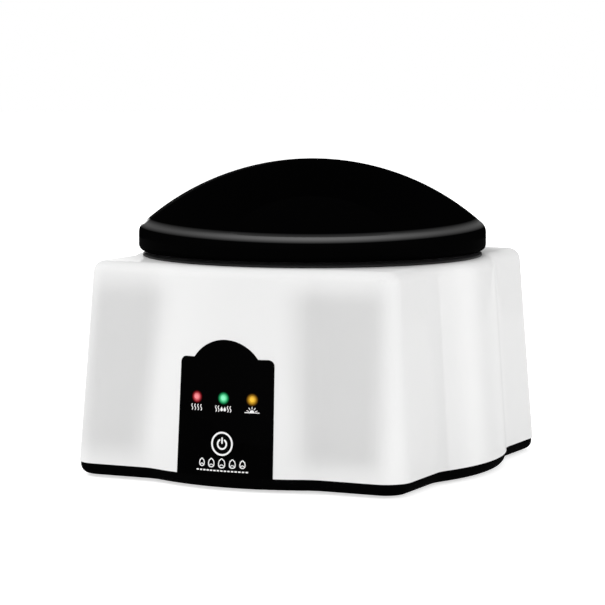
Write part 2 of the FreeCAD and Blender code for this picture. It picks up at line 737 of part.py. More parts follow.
def make_housing():
    shell = outer_block().cut(inner_block())
    rear_hole_at = V(0, HALF_DEPTH - LOBE_RISE, CORD_Z)
    shell = cut_all(shell, [
        cylinder(OPENING_R, 4 * WALL, V(0, 0, TOP_Z - 2 * WALL)),
        panel_prism(SNUG, SEAM_Z - WALL),
        cylinder(GLAND_NECK_R + SNUG, 4 * LOBE_RISE, rear_hole_at, BACK),
    ])
    low = CLOSING_BOSS_TOP + SNUG
    posts = [cylinder(CLOSING_BOSS_R, TOP_Z - WALL - low, V(x, y, low)) for x, y in closing_places()]
    pilot_r = CLOSING_SCREW_R + SCREW_GAP
    pilots = [cylinder(pilot_r, CLOSING_SCREW_L, V(x, y, low)) for x, y in closing_places()]
    return [fuse(shell, *[cut_all(post, pilots) for post in posts])]


def make_base_tray():
    tray = prism(PARTING_STEP, TRAY_Z, TRAY_H)
    tray = tray.makeFillet(TRAY_EDGE_R, level_edges(tray, TRAY_Z))
    lip_inset = WALL + SNUG + SLIP + DRAFT * LIP_H
    lip = prism(lip_inset, FLOOR_Z, SEAM_Z + LIP_H - FLOOR_Z)
    panel_room = 2 * (PANEL_HALF_FOOT + PANEL_FLANGE + SLIP)
    gland_room = 2 * (GLAND_FLANGE_R + SLIP)
    lip = cut_all(lip, [
        box(panel_room, 4 * LOBE_RISE, LIP_H, 0, -HALF_DEPTH, SEAM_Z),
        box(gland_room, 4 * LOBE_RISE, LIP_H, 0, HALF_DEPTH, SEAM_Z),
    ])
    tray = tray.fuse(lip).cut(prism(lip_inset + LIP_T, FLOOR_Z, TRAY_H + LIP_H))
    posts = [cylinder(CLOSING_BOSS_R, CLOSING_BOSS_H, V(x, y, FLOOR_Z)) for x, y in closing_places()]
    posts += [cylinder(POWER_POST_R, POWER_STANDOFF, V(x, y, FLOOR_Z)) for x, y in power_posts()]
    saddle_h = CORD_Z - SLIP - FLOOR_Z
    tray = fuse(tray, box(CLAMP_BAR_W, CLAMP_BAR_D, saddle_h, 0, CLAMP_BAR_Y, FLOOR_Z), *posts)

    holes = []
    for x, y in closing_places():
        at = V(x, y, TRAY_Z)
        well_h = CLOSING_BOSS_TOP - CLOSING_WEB - TRAY_Z
        holes.append(cylinder(CLOSING_HEAD_R + CLOSING_HEAD_ROOM, well_h, at))
        holes.append(cylinder(CLOSING_SCREW_R + SLIP, CLOSING_BOSS_TOP, at))
    foot_depth = FOOT_T - FOOT_PROUD
    holes += [cylinder(FOOT_R + SNUG, foot_depth, V(x, y, TRAY_Z)) for x, y in corners(FOOT_X, FOOT_Y)]
    holes += [small_pilot(V(x, y, FLOOR_Z), UP, POWER_STANDOFF) for x, y in power_posts()]
    down = UP * -1
    holes += [small_pilot(V(x, CLAMP_BAR_Y, FLOOR_Z + saddle_h), down, SMALL_SCREW_L + WALL)
              for x in (-CLAMP_SCREW_X, CLAMP_SCREW_X)]
    holes.append(cylinder(CORD_R + SNUG, 2 * CLAMP_BAR_D, V(0, CLAMP_BAR_Y - CLAMP_BAR_D, CORD_Z), BACK))
    first_y = VENT_Y - (VENTS - 1) / 2 * VENT_PITCH
    holes += [box(VENT_L, VENT_W, TRAY_FLOOR, side * VENT_X, first_y + i * VENT_PITCH, TRAY_Z)
              for side in (-1, 1) for i in range(VENTS)]
    return [cut_all(tray, holes).removeSplitter()]


def make_feet():
    feet = [cylinder(FOOT_R, FOOT_T, V(x, y, 0)) for x, y in corners(FOOT_X, FOOT_Y)]
    return [foot.makeFillet(FOOT_EDGE_R, level_edges(foot, 0)) for foot in feet]


def make_closing_screws():
    under_head = CLOSING_BOSS_TOP - CLOSING_WEB
    return [
        screw(CLOSING_SCREW_R, CLOSING_SCREW_L, CLOSING_HEAD_R, CLOSING_HEAD_H, V(x, y, under_head), UP)
        for x, y in closing_places()
    ]


# ---------------------------------------------------------------- collar, bowl and cup
def bowl_screw_places():
    return on_circle(BOWL_SCREWS, BOWL_SCREW_RING, 45)


def make_collar():
    """A lipped barrel that snaps into the housing's top, with a ledge and bosses that carry the bowl."""
    barrel = ring(COLLAR_BARREL_R, COLLAR_BORE_R, COLLAR_TOP_Z - LEDGE_Z, LEDGE_Z)
    rim_z = TOP_Z + COLLAR_RIM_H
    lip = revolve([
        (COLLAR_BORE_R, TOP_Z), (COLLAR_OUT_R, TOP_Z), (COLLAR_OUT_R, rim_z),
        (COLLAR_BORE_R + COLLAR_SEAT_W, COLLAR_TOP_Z), (COLLAR_BORE_R, COLLAR_TOP_Z),
    ])
    lip = lip.makeFillet(COLLAR_EDGE_R, level_edges(lip, COLLAR_TOP_Z))
    lip = lip.makeFillet(COLLAR_RIM_EDGE_R, level_edges(lip, rim_z))
    ledge = ring(COLLAR_BARREL_R, LEDGE_R, LEDGE_T, LEDGE_Z)
    hook_z = TOP_Z - WALL - SLIP - HOOK_H
    hook_band = ring(COLLAR_BARREL_R + HOOK_OUT, COLLAR_BORE_R, HOOK_H, hook_z)
    hooks = []
    for i in range(HOOKS):
        wedge = box(COLLAR_BARREL_R, HOOK_SPAN, HOOK_H, COLLAR_BARREL_R, 0, hook_z)
        wedge.rotate(ORIGIN, UP, 360.0 * i / HOOKS)
        hooks.append(hook_band.common(wedge))
    bosses = [cylinder(BOWL_BOSS_R, BOWL_BOSS_H + LEDGE_T, V(x, y, LEDGE_Z - BOWL_BOSS_H))
              for x, y in bowl_screw_places()]
    collar = fuse(barrel, lip, ledge, *hooks, *bosses)
    pilots = [small_pilot(V(x, y, GASKET_Z), UP * -1, SMALL_SCREW_L + BOWL_T) for x, y in bowl_screw_places()]
    return [cut_all(collar, pilots)]


def make_bowl_gasket():
    return [ring(GASKET_R, LEDGE_R, GASKET_T, GASKET_Z)]


def pan(radius, thick, floor_z, rim_z, bend_r, rim_r):
    """A round pan with an out-turned rim: radius is its inside, floor_z the top of its flat floor."""
    out_r, out_bend = radius + thick, bend_r + thick
    low = floor_z - thick
    k = 1 - math.sqrt(0.5)
    return revolve([
        (0.0, low), (out_r - out_bend, low),
        ((out_r - k * out_bend, low + k * out_bend), (out_r, low + out_bend)),
        (out_r, rim_z - thick), (rim_r, rim_z - thick), (rim_r, rim_z), (radius, rim_z),
        (radius, floor_z + bend_r),
        ((radius - k * bend_r, floor_z + k * bend_r), (radius - bend_r, floor_z)),
        (0.0, floor_z),
    ])


def stud_places():
    return on_circle(STUDS, STUD_RING)


def make_heating_bowl():
    bowl = pan(BOWL_R, BOWL_T, BOWL_FLOOR_Z, BOWL_RIM_Z, BOWL_BEND_R, COLLAR_BORE_R - SLIP)
    low = BOWL_UNDER_Z - STUD_BOSS_H
    boss_h = STUD_BOSS_H + BOWL_T / 2
    bowl = fuse(bowl, *[cylinder(STUD_BOSS_R, boss_h, V(x, y, low)) for x, y in stud_places()])
    holes = [cylinder(SMALL_SCREW_R + SLIP, BOWL_T, V(x, y, BOWL_FLANGE_Z)) for x, y in bowl_screw_places()]
    holes += [cylinder(STUD_R + SCREW_GAP, STUD_BOSS_H, V(x, y, low)) for x, y in stud_places()]
    return [cut_all(bowl, holes)]


def make_bowl_screws():
    return [small_screw(V(x, y, BOWL_RIM_Z), UP * -1) for x, y in bowl_screw_places()]


def make_remover_cup():
    """A thin lift-out cup with a bead round its wall and two notched tabs inside its rim."""
    cup = pan(CUP_R, CUP_T, CUP_FLOOR_Z, CUP_RIM_Z, CUP_BEND_R, CUP_R + CUP_RIM_W)
    bead = Part.makeTorus(CUP_R + 0.75 * CUP_T, CUP_BEAD_R, V(0, 0, CUP_FLOOR_Z + CUP_BEAD_UP))
    tab = box(CUP_TAB_L + CUP_T, CUP_TAB_W, CUP_T, CUP_R - CUP_TAB_L / 2, 0, CUP_RIM_Z - CUP_T)
    tab = tab.cut(cylinder(CUP_TAB_NOTCH_R, CUP_T, V(CUP_R - CUP_TAB_L - CUP_T, 0, CUP_RIM_Z - CUP_T)))
    other = tab.copy()
    other.rotate(ORIGIN, UP, 180)
    return [fuse(cup, bead, tab, other)]


# ---------------------------------------------------------------- finger plate
def finger_places():
    """Hole centres on an arc round the rear of the plate, so that either hand fits."""
    first = 90 - (FINGERS - 1) / 2 * FINGER_STEP_DEG
    angles = [math.radians(first + i * FINGER_STEP_DEG) for i in range(FINGERS)]
    return [(FINGER_RING * math.cos(a), FINGER_RING * math.sin(a)) for a in angles]


def plate_height(radius):
    return PLATE_DOME_Z + math.sqrt(PLATE_DOME_R ** 2 - radius ** 2)


FINGER_BOSS_Z = plate_height(FINGER_RING) + FINGER_BOSS_UP
FINGER_BOSS_LOW = plate_height(FINGER_RING + FINGER_R) - PLATE_T - FINGER_BOSS_UP
FINGER_BOSS_H = FINGER_BOSS_Z - FINGER_BOSS_LOW


def make_finger_plate():
    half = PLATE_R / 2
    deck = revolve([
        (0.0, plate_height(0) - PLATE_T),
        ((half, plate_height(half) - PLATE_T), (PLATE_R, PLATE_EDGE_Z - PLATE_T)),
        (PLATE_R, PLATE_EDGE_Z),
        ((half, plate_height(half)), (0.0, plate_height(0))),
    ])
    skirt_z = BOWL_RIM_Z + SLIP
    skirt = ring(SKIRT_R, SKIRT_R - SKIRT_T, PLATE_EDGE_Z - PLATE_T / 2 - skirt_z, skirt_z)
    bosses, holes = [], []
    for x, y in finger_places():
        bosses.append(cylinder(FINGER_R + FINGER_BOSS_W, FINGER_BOSS_H, V(x, y, FINGER_BOSS_LOW)))
        holes.append(cylinder(FINGER_R, 3 * FINGER_BOSS_H, V(x, y, FINGER_BOSS_LOW - FINGER_BOSS_H)))
    notch_x, notch_z = PLATE_R + NOTCH_R - NOTCH_IN, PLATE_EDGE_Z - 2 * PLATE_T
    holes += [cylinder(NOTCH_R, 4 * PLATE_T, V(x, 0, notch_z)) for x in (-notch_x, notch_x)]
    return [cut_all(fuse(deck, skirt, *bosses), holes)]


def make_finger_sleeves():
    """A soft sleeve lines each hole, with a lip over and under the hole's boss."""
    bore_r, low = FINGER_R - SLEEVE_T, FINGER_BOSS_LOW - SLEEVE_LIP_T
    sleeve = fuse(
        ring(FINGER_R - SNUG, bore_r, FINGER_BOSS_H + 2 * SLEEVE_LIP_T, low),
        ring(FINGER_R + SLEEVE_LIP_W, bore_r, SLEEVE_LIP_T, FINGER_BOSS_Z),
        ring(FINGER_R + SLEEVE_LIP_W, bore_r, SLEEVE_LIP_T, low),
    )
    sleeve = sleeve.makeFillet(SLEEVE_EDGE_R, level_edges(sleeve, FINGER_BOSS_Z + SLEEVE_LIP_T))
    sleeves = []
    for x, y in finger_places():
        sleeves.append(sleeve.copy())
        sleeves[-1].translate(V(x, y, 0))
    return sleeves


# ---------------------------------------------------------------- heater stack
def make_thermal_pad():
    return [ring(HEATER_R, HEATER_HOLE_R, PAD_T, HEATER_TOP_Z)]


def make_heater():
    """A heating disc round a central hole, with a terminal block on its front edge."""
    disc = ring(HEATER_R, HEATER_HOLE_R, HEATER_T, HEATER_LOW_Z)
    block = box(HEATER_BLOCK_W, 2 * HEATER_BLOCK_L, HEATER_T, HEATER_LEAD_X, -HEATER_R, HEATER_LOW_Z)
    return [fuse(disc, block)]


def make_heater_clamp():
    """A plate with one arm to each stud."""
    plate = ring(CLAMP_R, HEATER_HOLE_R, CLAMP_T, CLAMP_Z)
    inner_r = (CLAMP_R + HEATER_HOLE_R) / 2
    arms = []
    for i, (x, y) in enumerate(stud_places()):
        arm = box(STUD_RING - inner_r, CLAMP_ARM_W, CLAMP_T, (STUD_RING + inner_r) / 2, 0, CLAMP_Z)
        arm.rotate(ORIGIN, UP, 360.0 * i / STUDS)
        arms += [arm, cylinder(CLAMP_ARM_W / 2, CLAMP_T, V(x, y, CLAMP_Z))]
    holes = [cylinder(STUD_R + SLIP, CLAMP_T, V(x, y, CLAMP_Z)) for x, y in stud_places()]
    return [cut_all(fuse(plate, *arms), holes)]


def make_clamp_spacers():
    """Sleeves on the studs: short ones set the clamp below the bowl, long ones hang the shield from it."""
    upper_h = BOWL_UNDER_Z - STUD_BOSS_H - CLAMP_Z - CLAMP_T
    spacers = []
    for x, y in stud_places():
        for low, height in ((SHIELD_Z + SHIELD_T, SPACER_L), (CLAMP_Z + CLAMP_T, upper_h)):
            at = V(x, y, low)
            spacers.append(cylinder(SPACER_R, height, at).cut(cylinder(STUD_R + SLIP, height, at)))
    return spacers


def make_heater_studs():
    length = BOWL_UNDER_Z - SHIELD_Z - SNUG
    places = [V(x, y, SHIELD_Z) for x, y in stud_places()]
    return [screw(STUD_R, length, CLOSING_HEAD_R, CLOSING_HEAD_H, at, UP) for at in places]


def make_heat_shield():
    dish = fuse(cylinder(SHIELD_R, SHIELD_T, V(0, 0, SHIELD_Z)),
                ring(SHIELD_R, SHIELD_R - SHIELD_T, SHIELD_RIM, SHIELD_Z))
    return [cut_all(dish, [cylinder(STUD_R + SLIP, SHIELD_T, V(x, y, SHIELD_Z)) for x, y in stud_places()])]


def make_thermostat():
    """A round snap thermostat against the bowl's underside, with two blade tabs below."""
    flange_z = BOWL_UNDER_Z - THERMOSTAT_FLANGE_T
    flange = cylinder(THERMOSTAT_R + THERMOSTAT_FLANGE_W, THERMOSTAT_FLANGE_T, V(0, 0, flange_z))
    low = BOWL_UNDER_Z - THERMOSTAT_H
    body = cylinder(THERMOSTAT_R, THERMOSTAT_H, V(0, 0, low))
    tabs = [box(TAB_T, TAB_W, TAB_L, side * TAB_PITCH / 2, 0, low - TAB_L) for side in (-1, 1)]
    return [fuse(flange, body, *tabs)]


def make_thermal_cutout():
    """A cartridge that lies in a saddle on the underside of the clamp."""
    z = CLAMP_Z - CUTOUT_R - CUTOUT_SADDLE / 2
    x = -(CLAMP_R + HEATER_HOLE_R) / 2
    body = cylinder(CUTOUT_R, CUTOUT_L, V(x, -CUTOUT_L / 2, z), BACK)
    return [fuse(body, box(2 * (CUTOUT_R + CUTOUT_SADDLE), CUTOUT_L / 2, CLAMP_Z - z, x, 0, z))]


# ---------------------------------------------------------------- lid
def lid_block(offset, bottom_z, edge_r, shoulder_r):
    """The lid's round cap on its straight rim, moved inwards by offset."""
    dome_r, rim_r = LID_DOME_R - offset, LID_R - offset
    shoulder_z = LID_DOME_Z + math.sqrt(dome_r ** 2 - rim_r ** 2)
    middle = (rim_r / 2, LID_DOME_Z + math.sqrt(dome_r ** 2 - (rim_r / 2) ** 2))
    block = revolve([
        (0.0, bottom_z), (rim_r, bottom_z), (rim_r, shoulder_z), (middle, (0.0, LID_DOME_Z + dome_r)),
    ])
    if edge_r:
        block = block.makeFillet(edge_r, level_edges(block, bottom_z))
    rim = [e for e in level_edges(block, shoulder_z, 0.01) if e.BoundBox.XLength > rim_r]
    return block.makeFillet(shoulder_r, rim)


def lid_screw_places():
    return on_circle(LID_SCREWS, LID_SCREW_RING, 45)


def make_lid_shell():
    inside = lid_block(LID_WALL, LID_BOTTOM_Z - LID_WALL, 0.0, LID_SHOULDER_R - LID_WALL)
    shell = lid_block(0.0, LID_BOTTOM_Z, LID_EDGE_R, LID_SHOULDER_R).cut(inside)
    boss_z = LINER_Z + LINER_T
    posts = [cylinder(LID_BOSS_R, LID_CAP_H, V(x, y, boss_z)).common(inside) for x, y in lid_screw_places()]
    return [cut_all(fuse(shell, *posts), [small_pilot(V(x, y, boss_z), UP) for x, y in lid_screw_places()])]


def make_lid_liner():
    """A flange, a locating skirt and a shallow dome that sheds the drips back into the bowl."""
    edge_r = LINER_DOME_EDGE_R
    under_r = (edge_r ** 2 + LINER_CROWN ** 2) / (2 * LINER_CROWN)
    centre_z = LINER_Z + LINER_CROWN - under_r
    over_r = under_r + LINER_T
    over_edge = math.sqrt(over_r ** 2 - (LINER_Z + LINER_T - centre_z) ** 2)
    half = edge_r / 2

    def over(r):
        return r, centre_z + math.sqrt(over_r ** 2 - r ** 2)

    def under(r):
        return r, centre_z + math.sqrt(under_r ** 2 - r ** 2)

    liner = revolve([
        (edge_r, LINER_Z), (LINER_R, LINER_Z), (LINER_R, LINER_Z + LINER_T), (over_edge, LINER_Z + LINER_T),
        (over(half), over(0.0)), under(0.0), (under(half), (edge_r, LINER_Z)),
    ])
    skirt = ring(LINER_SKIRT_R, LINER_SKIRT_R - LINER_SKIRT_T, LINER_SKIRT_L, LINER_Z - LINER_SKIRT_L)
    holes = [cylinder(SMALL_SCREW_R + SLIP, LINER_T, V(x, y, LINER_Z)) for x, y in lid_screw_places()]
    return [cut_all(fuse(liner, skirt), holes)]


def make_lid_seal():
    low = COLLAR_TOP_Z + SEAL_GAP
    return [ring(SEAL_R + SEAL_W / 2, SEAL_R - SEAL_W / 2, LINER_Z - low, low)]


def make_lid_screws():
    return [small_screw(V(x, y, LINER_Z), UP) for x, y in lid_screw_places()]


# ---------------------------------------------------------------- power board and wiring
def power_posts():
    return corners(POWER_W / 2 - POWER_POST_INSET, POWER_D / 2 - POWER_POST_INSET, POWER_Y)


def make_power_board():
    board = box(POWER_W, POWER_D, BOARD_T, 0, POWER_Y, POWER_Z)
    holes = [cylinder(SMALL_SCREW_R + SLIP, BOARD_T, V(x, y, POWER_Z)) for x, y in power_posts()]
    return [cut_all(board, holes)]


def make_power_board_screws():
    return [small_screw(V(x, y, POWER_TOP), UP * -1) for x, y in power_posts()]


def make_transformer():
    """A laminated core round a bobbin."""
    y = POWER_FRONT_Y + TRANSFORMER_UP
    core = box(CORE_W, CORE_D, CORE_H, TRANSFORMER_X, y, POWER_TOP)
    return [fuse(core, box(BOBBIN_W, BOBBIN_D, BOBBIN_H, TRANSFORMER_X, y, POWER_TOP))]


def make_relay():
    return [box(RELAY_W, RELAY_D, RELAY_H, RELAY_X, RELAY_Y, POWER_TOP)]


def make_terminal_block():
    block = box(TERMINAL_W, TERMINAL_D, TERMINAL_H, 0, TERMINAL_Y, POWER_TOP)
    bore_y = TERMINAL_Y + TERMINAL_D / 2 - TERMINAL_BORE_L
    screw_z = POWER_TOP + TERMINAL_H - TERMINAL_SCREW_DEPTH
    holes = []
    for x in (-TERMINAL_PITCH, 0.0, TERMINAL_PITCH):
        holes.append(cylinder(LEAD_R + SNUG, TERMINAL_BORE_L, V(x, bore_y, TERMINAL_WIRE_Z), BACK))
        holes.append(cylinder(TERMINAL_SCREW_R, TERMINAL_SCREW_DEPTH, V(x, TERMINAL_Y, screw_z)))
    return [cut_all(block, holes)]


def make_board_parts():
    """Down the right side a film capacitor and two cans, down the left a fuse in its clips and a choke."""
    step = POWER_D / 4
    film = box(FILM_W, FILM_D, FILM_H, SIDE_X, POWER_Y + step, POWER_TOP)
    big_can = cylinder(BIG_CAN_R, BIG_CAN_H, V(SIDE_X, POWER_Y, POWER_TOP))
    small_can = cylinder(SMALL_CAN_R, SMALL_CAN_H, V(SIDE_X, POWER_Y - step, POWER_TOP))
    fuse_x, fuse_y = -SIDE_X, POWER_Y + step
    glass = cylinder(FUSE_R, FUSE_L, V(fuse_x - FUSE_L / 2, fuse_y, POWER_TOP + FUSE_UP), V(1, 0, 0))
    clips = [box(FUSE_CLIP_W, FUSE_CLIP_D, FUSE_UP, fuse_x + side * FUSE_CLIP_PITCH / 2, fuse_y, POWER_TOP)
             for side in (-1, 1)]
    choke_at = V(CHOKE_R + BOARD_MARGIN - POWER_W / 2, POWER_Y - step / 2, POWER_TOP)
    choke = cylinder(CHOKE_R, CHOKE_H, choke_at).cut(cylinder(CHOKE_BORE_R, CHOKE_H, choke_at))
    return [film, big_can, small_can, fuse(glass, *clips), choke]


def make_ribbon_sockets():
    on_control = on_panel(box(SOCKET_W, SOCKET_D, SOCKET_H, RIBBON_X, SOCKET_UP, BOARD_BACK - SOCKET_H))
    on_power = box(SOCKET_W, SOCKET_D, SOCKET_H, RIBBON_X, POWER_FRONT_Y + SOCKET_D, POWER_TOP)
    return [on_control, on_power]


def make_control_ribbon():
    """A flat cable that sags from the back of the control board to the front of the power board."""
    upper, lower = (socket.BoundBox for socket in make_ribbon_sockets())
    left = RIBBON_X - RIBBON_W / 2
    start = V(left, upper.YMax, upper.Center.z)
    middle = V(left, (upper.YMax + lower.Center.y) / 2, lower.ZMax + RIBBON_T)
    end = V(left, lower.Center.y, lower.ZMax)
    sheet = Part.Arc(start, middle, end).toShape().extrude(V(RIBBON_W, 0, 0))
    ribbon = sheet.makeOffsetShape(RIBBON_T, 1e-3, fill=True)
    return [cut_all(ribbon, make_ribbon_sockets())]


def make_mains_leads():
    """Three leads that fan out from the end of the cord's sheath to the terminal block."""
    mouth_y = TERMINAL_Y + TERMINAL_D / 2
    gap = FLEX_START_Y - mouth_y
    leads = []
    for x in (-TERMINAL_PITCH, 0.0, TERMINAL_PITCH):
        near_x = x * LEAD_BUNDLE
        start_z = CORD_Z + (LEAD_R if x == 0.0 else -LEAD_R / 2)
        leads.append(tube([
            (near_x, FLEX_START_Y, start_z), (near_x, FLEX_START_Y - 0.2 * gap, start_z),
            (x, mouth_y + 0.25 * gap, TERMINAL_WIRE_Z),
            (x, mouth_y - TERMINAL_BORE_L + SNUG, TERMINAL_WIRE_Z),
        ], LEAD_R)[0])
    return leads


def make_heater_leads():
    """Two sleeved leads from the heater's front edge, down past the shield and back to the relay."""
    block_y, turn_y = -HEATER_R - HEATER_BLOCK_L, -SHIELD_R - LEAD_LOOP
    heater_z, relay_z = HEATER_LOW_Z + HEATER_T / 2, POWER_TOP + RELAY_H / 2
    leads = []
    for side in (-0.5, 0.5):
        x, relay_x = HEATER_LEAD_X + side * HEATER_LEAD_PITCH, RELAY_X + side * HEATER_LEAD_PITCH
        leads.append(tube([
            (x, block_y, heater_z), (x, turn_y + LEAD_LOOP, heater_z), (x, turn_y, heater_z - LEAD_LOOP),
            (x, turn_y, SHIELD_Z), (relay_x, turn_y + LEAD_LOOP, SHIELD_Z - LEAD_LOOP),
            (relay_x, RELAY_FRONT_Y - 2 * LEAD_LOOP, relay_z), (relay_x, RELAY_FRONT_Y, relay_z),
        ], LEAD_R)[0])
    return leads


# ---------------------------------------------------------------- cord, gland and plug
def ribbed_boot(root_r, tip_r, at):
    """A tapered strain relief that points along +Y from a point, with cut ribs and a bore for the cord."""
    boot = Part.makeCone(root_r, tip_r, BOOT_L)
    cuts = [cylinder(CORD_R + SCREW_GAP, BOOT_L)]
    for i in range(int(BOOT_L // (2 * RIB_W)) - 1):
        low = RIB_W * (1.5 + 2 * i)
        groove_r = root_r + (tip_r - root_r) * (low + RIB_W / 2) / BOOT_L - RIB_DEPTH
        band = ring(2 * root_r, groove_r, RIB_W, low)
        bridge = box(4 * root_r, RIB_BRIDGE, RIB_W, 0, 0, low)
        bridge.rotate(ORIGIN, UP, 90 * (i % 2))
        cuts.append(band.cut(bridge))
    boot = cut_all(boot, cuts)
    boot.rotate(ORIGIN, V(1, 0, 0), -90)
    boot.translate(at)
    return boot


def make_cord_gland():
    """A grommet with a flange on each face of the rear wall, and its boot."""
    start = V(0, GLAND_Y - WALL - 2 * GLAND_FLANGE_T, CORD_Z)
    reach = WALL + 3 * GLAND_FLANGE_T
    outer = cylinder(GLAND_FLANGE_R, reach, start, BACK).cut(outer_block())
    inner = cylinder(GLAND_FLANGE_R, reach, start, BACK).common(inner_block())
    neck = cylinder(GLAND_NECK_R, reach, start, BACK)
    body = fuse(outer, inner, neck).cut(cylinder(CORD_R + SCREW_GAP, reach, start, BACK))
    return [fuse(body, ribbed_boot(BOOT_ROOT_R, BOOT_TIP_R, V(0, GLAND_Y + GLAND_FLANGE_T, CORD_Z)))]


def make_inner_flex():
    return [cylinder(CORD_R, GLAND_END_Y - FLEX_START_Y, V(0, FLEX_START_Y, CORD_Z), BACK)]


def make_cord_clamp():
    low = CORD_Z + SLIP
    bar = box(CLAMP_BAR_W, CLAMP_BAR_D, CLAMP_BAR_H, 0, CLAMP_BAR_Y, low)
    holes = [cylinder(SMALL_SCREW_R + SLIP, CLAMP_BAR_H, V(x, CLAMP_BAR_Y, low))
             for x in (-CLAMP_SCREW_X, CLAMP_SCREW_X)]
    holes.append(cylinder(CORD_R + SCREW_GAP, 2 * CLAMP_BAR_D, V(0, CLAMP_BAR_Y - CLAMP_BAR_D, CORD_Z), BACK))
    return [cut_all(bar, holes)]


def make_clamp_screws():
    top, length = CORD_Z + SLIP + CLAMP_BAR_H, CLAMP_BAR_H + SMALL_SCREW_L
    return [small_screw(V(x, CLAMP_BAR_Y, top), UP * -1, length) for x in (-CLAMP_SCREW_X, CLAMP_SCREW_X)]


def cord_stretch(route, name):
    placed = [(x, GLAND_END_Y + y, z) for x, y, z in route]
    solid, length, radii = tube(placed, CORD_R)
    share = solid.Volume / (math.pi * CORD_R ** 2 * length)
    radii = [round(r) for r in radii]
    print(f"{name}: {length:.1f} mm, volume {share:.4f} of section times length, radii {radii}")
    return [solid]


def make_cord_coil():
    coil = ring(COIL_OUT_R, COIL_IN_R, COIL_H, COIL_Z)
    coil.translate(V(COIL_X, COIL_Y, 0))
    return [coil]


def make_cord_tie():
    """A flat strap once round the bundle of turns."""
    strap = ring(COIL_OUT_R + TIE_T, COIL_IN_R - TIE_T, COIL_H + 2 * TIE_T, COIL_Z - TIE_T)
    strap = strap.cut(ring(COIL_OUT_R, COIL_IN_R, COIL_H, COIL_Z))
    strap = strap.common(box(COIL_OUT_R, TIE_W, 3 * COIL_H, COIL_MEAN_R, 0, COIL_Z - COIL_H))
    strap.rotate(ORIGIN, UP, TIE_ANGLE)
    strap.translate(V(COIL_X, COIL_Y, 0))
    return [strap]


def at_plug(shape):
    moved = shape.copy()
    moved.translate(V(PLUG_X, PLUG_Y, 0))
    return moved


def pin_xs():
    return -PIN_PITCH / 2, PIN_PITCH / 2


def make_plug_body():
    """A round face over a wedge-shaped neck, from which the cord leaves at the side."""
    puck = cylinder(PLUG_R, PLUG_H)
    puck = puck.makeFillet(PLUG_RIM_R, level_edges(puck, PLUG_H))
    puck = puck.makeChamfer(PLUG_BEVEL, level_edges(puck, 0))
    root, tip = NECK_ROOT_HALF, NECK_TIP_HALF
    outline = Part.makePolygon([V(-root), V(root), V(tip, NECK_L), V(-tip, NECK_L), V(-root)])
    neck = Part.Face(outline).extrude(V(0, 0, 2 * PLUG_BOOT_Z))
    neck = neck.makeFillet(NECK_EDGE_R, [e for e in neck.Edges if e.BoundBox.YMin > NECK_L / 2])
    body = puck.fuse(neck)
    cuts = [box(EARTH_W, 2 * EARTH_DEPTH, EARTH_L + EARTH_DEPTH, 0, side * PLUG_R, PLUG_H - EARTH_L)
            for side in (-1, 1)]
    cuts += [cylinder(PIN_TENON_R + SCREW_GAP, PIN_TENON_L, V(x, 0, PLUG_H - PIN_TENON_L)) for x in pin_xs()]
    cuts.append(cylinder(EARTH_HOLE_R, EARTH_HOLE_DEPTH, V(0, EARTH_HOLE_Y, PLUG_H - EARTH_HOLE_DEPTH)))
    return [at_plug(cut_all(body, cuts).removeSplitter())]


def make_plug_pins():
    """Round pins, each with a tenon in the plug's face."""
    pins = []
    for x in pin_xs():
        pin = cylinder(PIN_R, PIN_L, V(x, 0, PLUG_H))
        pin = pin.makeFillet(PIN_TIP_R, level_edges(pin, PLUG_H + PIN_L))
        pins.append(at_plug(fuse(pin, cylinder(PIN_TENON_R, PIN_TENON_L, V(x, 0, PLUG_H - PIN_TENON_L)))))
    return pins


def make_plug_earth_contacts():
    """A strip in each side groove, and the sleeve that takes a socket's earth pin."""
    strip_y = PLUG_R - EARTH_DEPTH + EARTH_T / 2
    parts = [box(EARTH_W - 2 * EARTH_T, EARTH_T, EARTH_L, 0, side * strip_y, PLUG_H - EARTH_L)
             for side in (-1, 1)]
    low = V(0, EARTH_HOLE_Y, PLUG_H - EARTH_HOLE_DEPTH)
    sleeve = cylinder(EARTH_HOLE_R - SCREW_GAP, EARTH_HOLE_DEPTH - EARTH_T, low)
    parts.append(sleeve.cut(cylinder(EARTH_HOLE_R - EARTH_T, EARTH_HOLE_DEPTH, low)))
    return [at_plug(part) for part in parts]


def make_plug_boot():
    return [at_plug(ribbed_boot(PLUG_BOOT_ROOT_R, BOOT_TIP_R, V(0, NECK_L, PLUG_BOOT_Z)))]


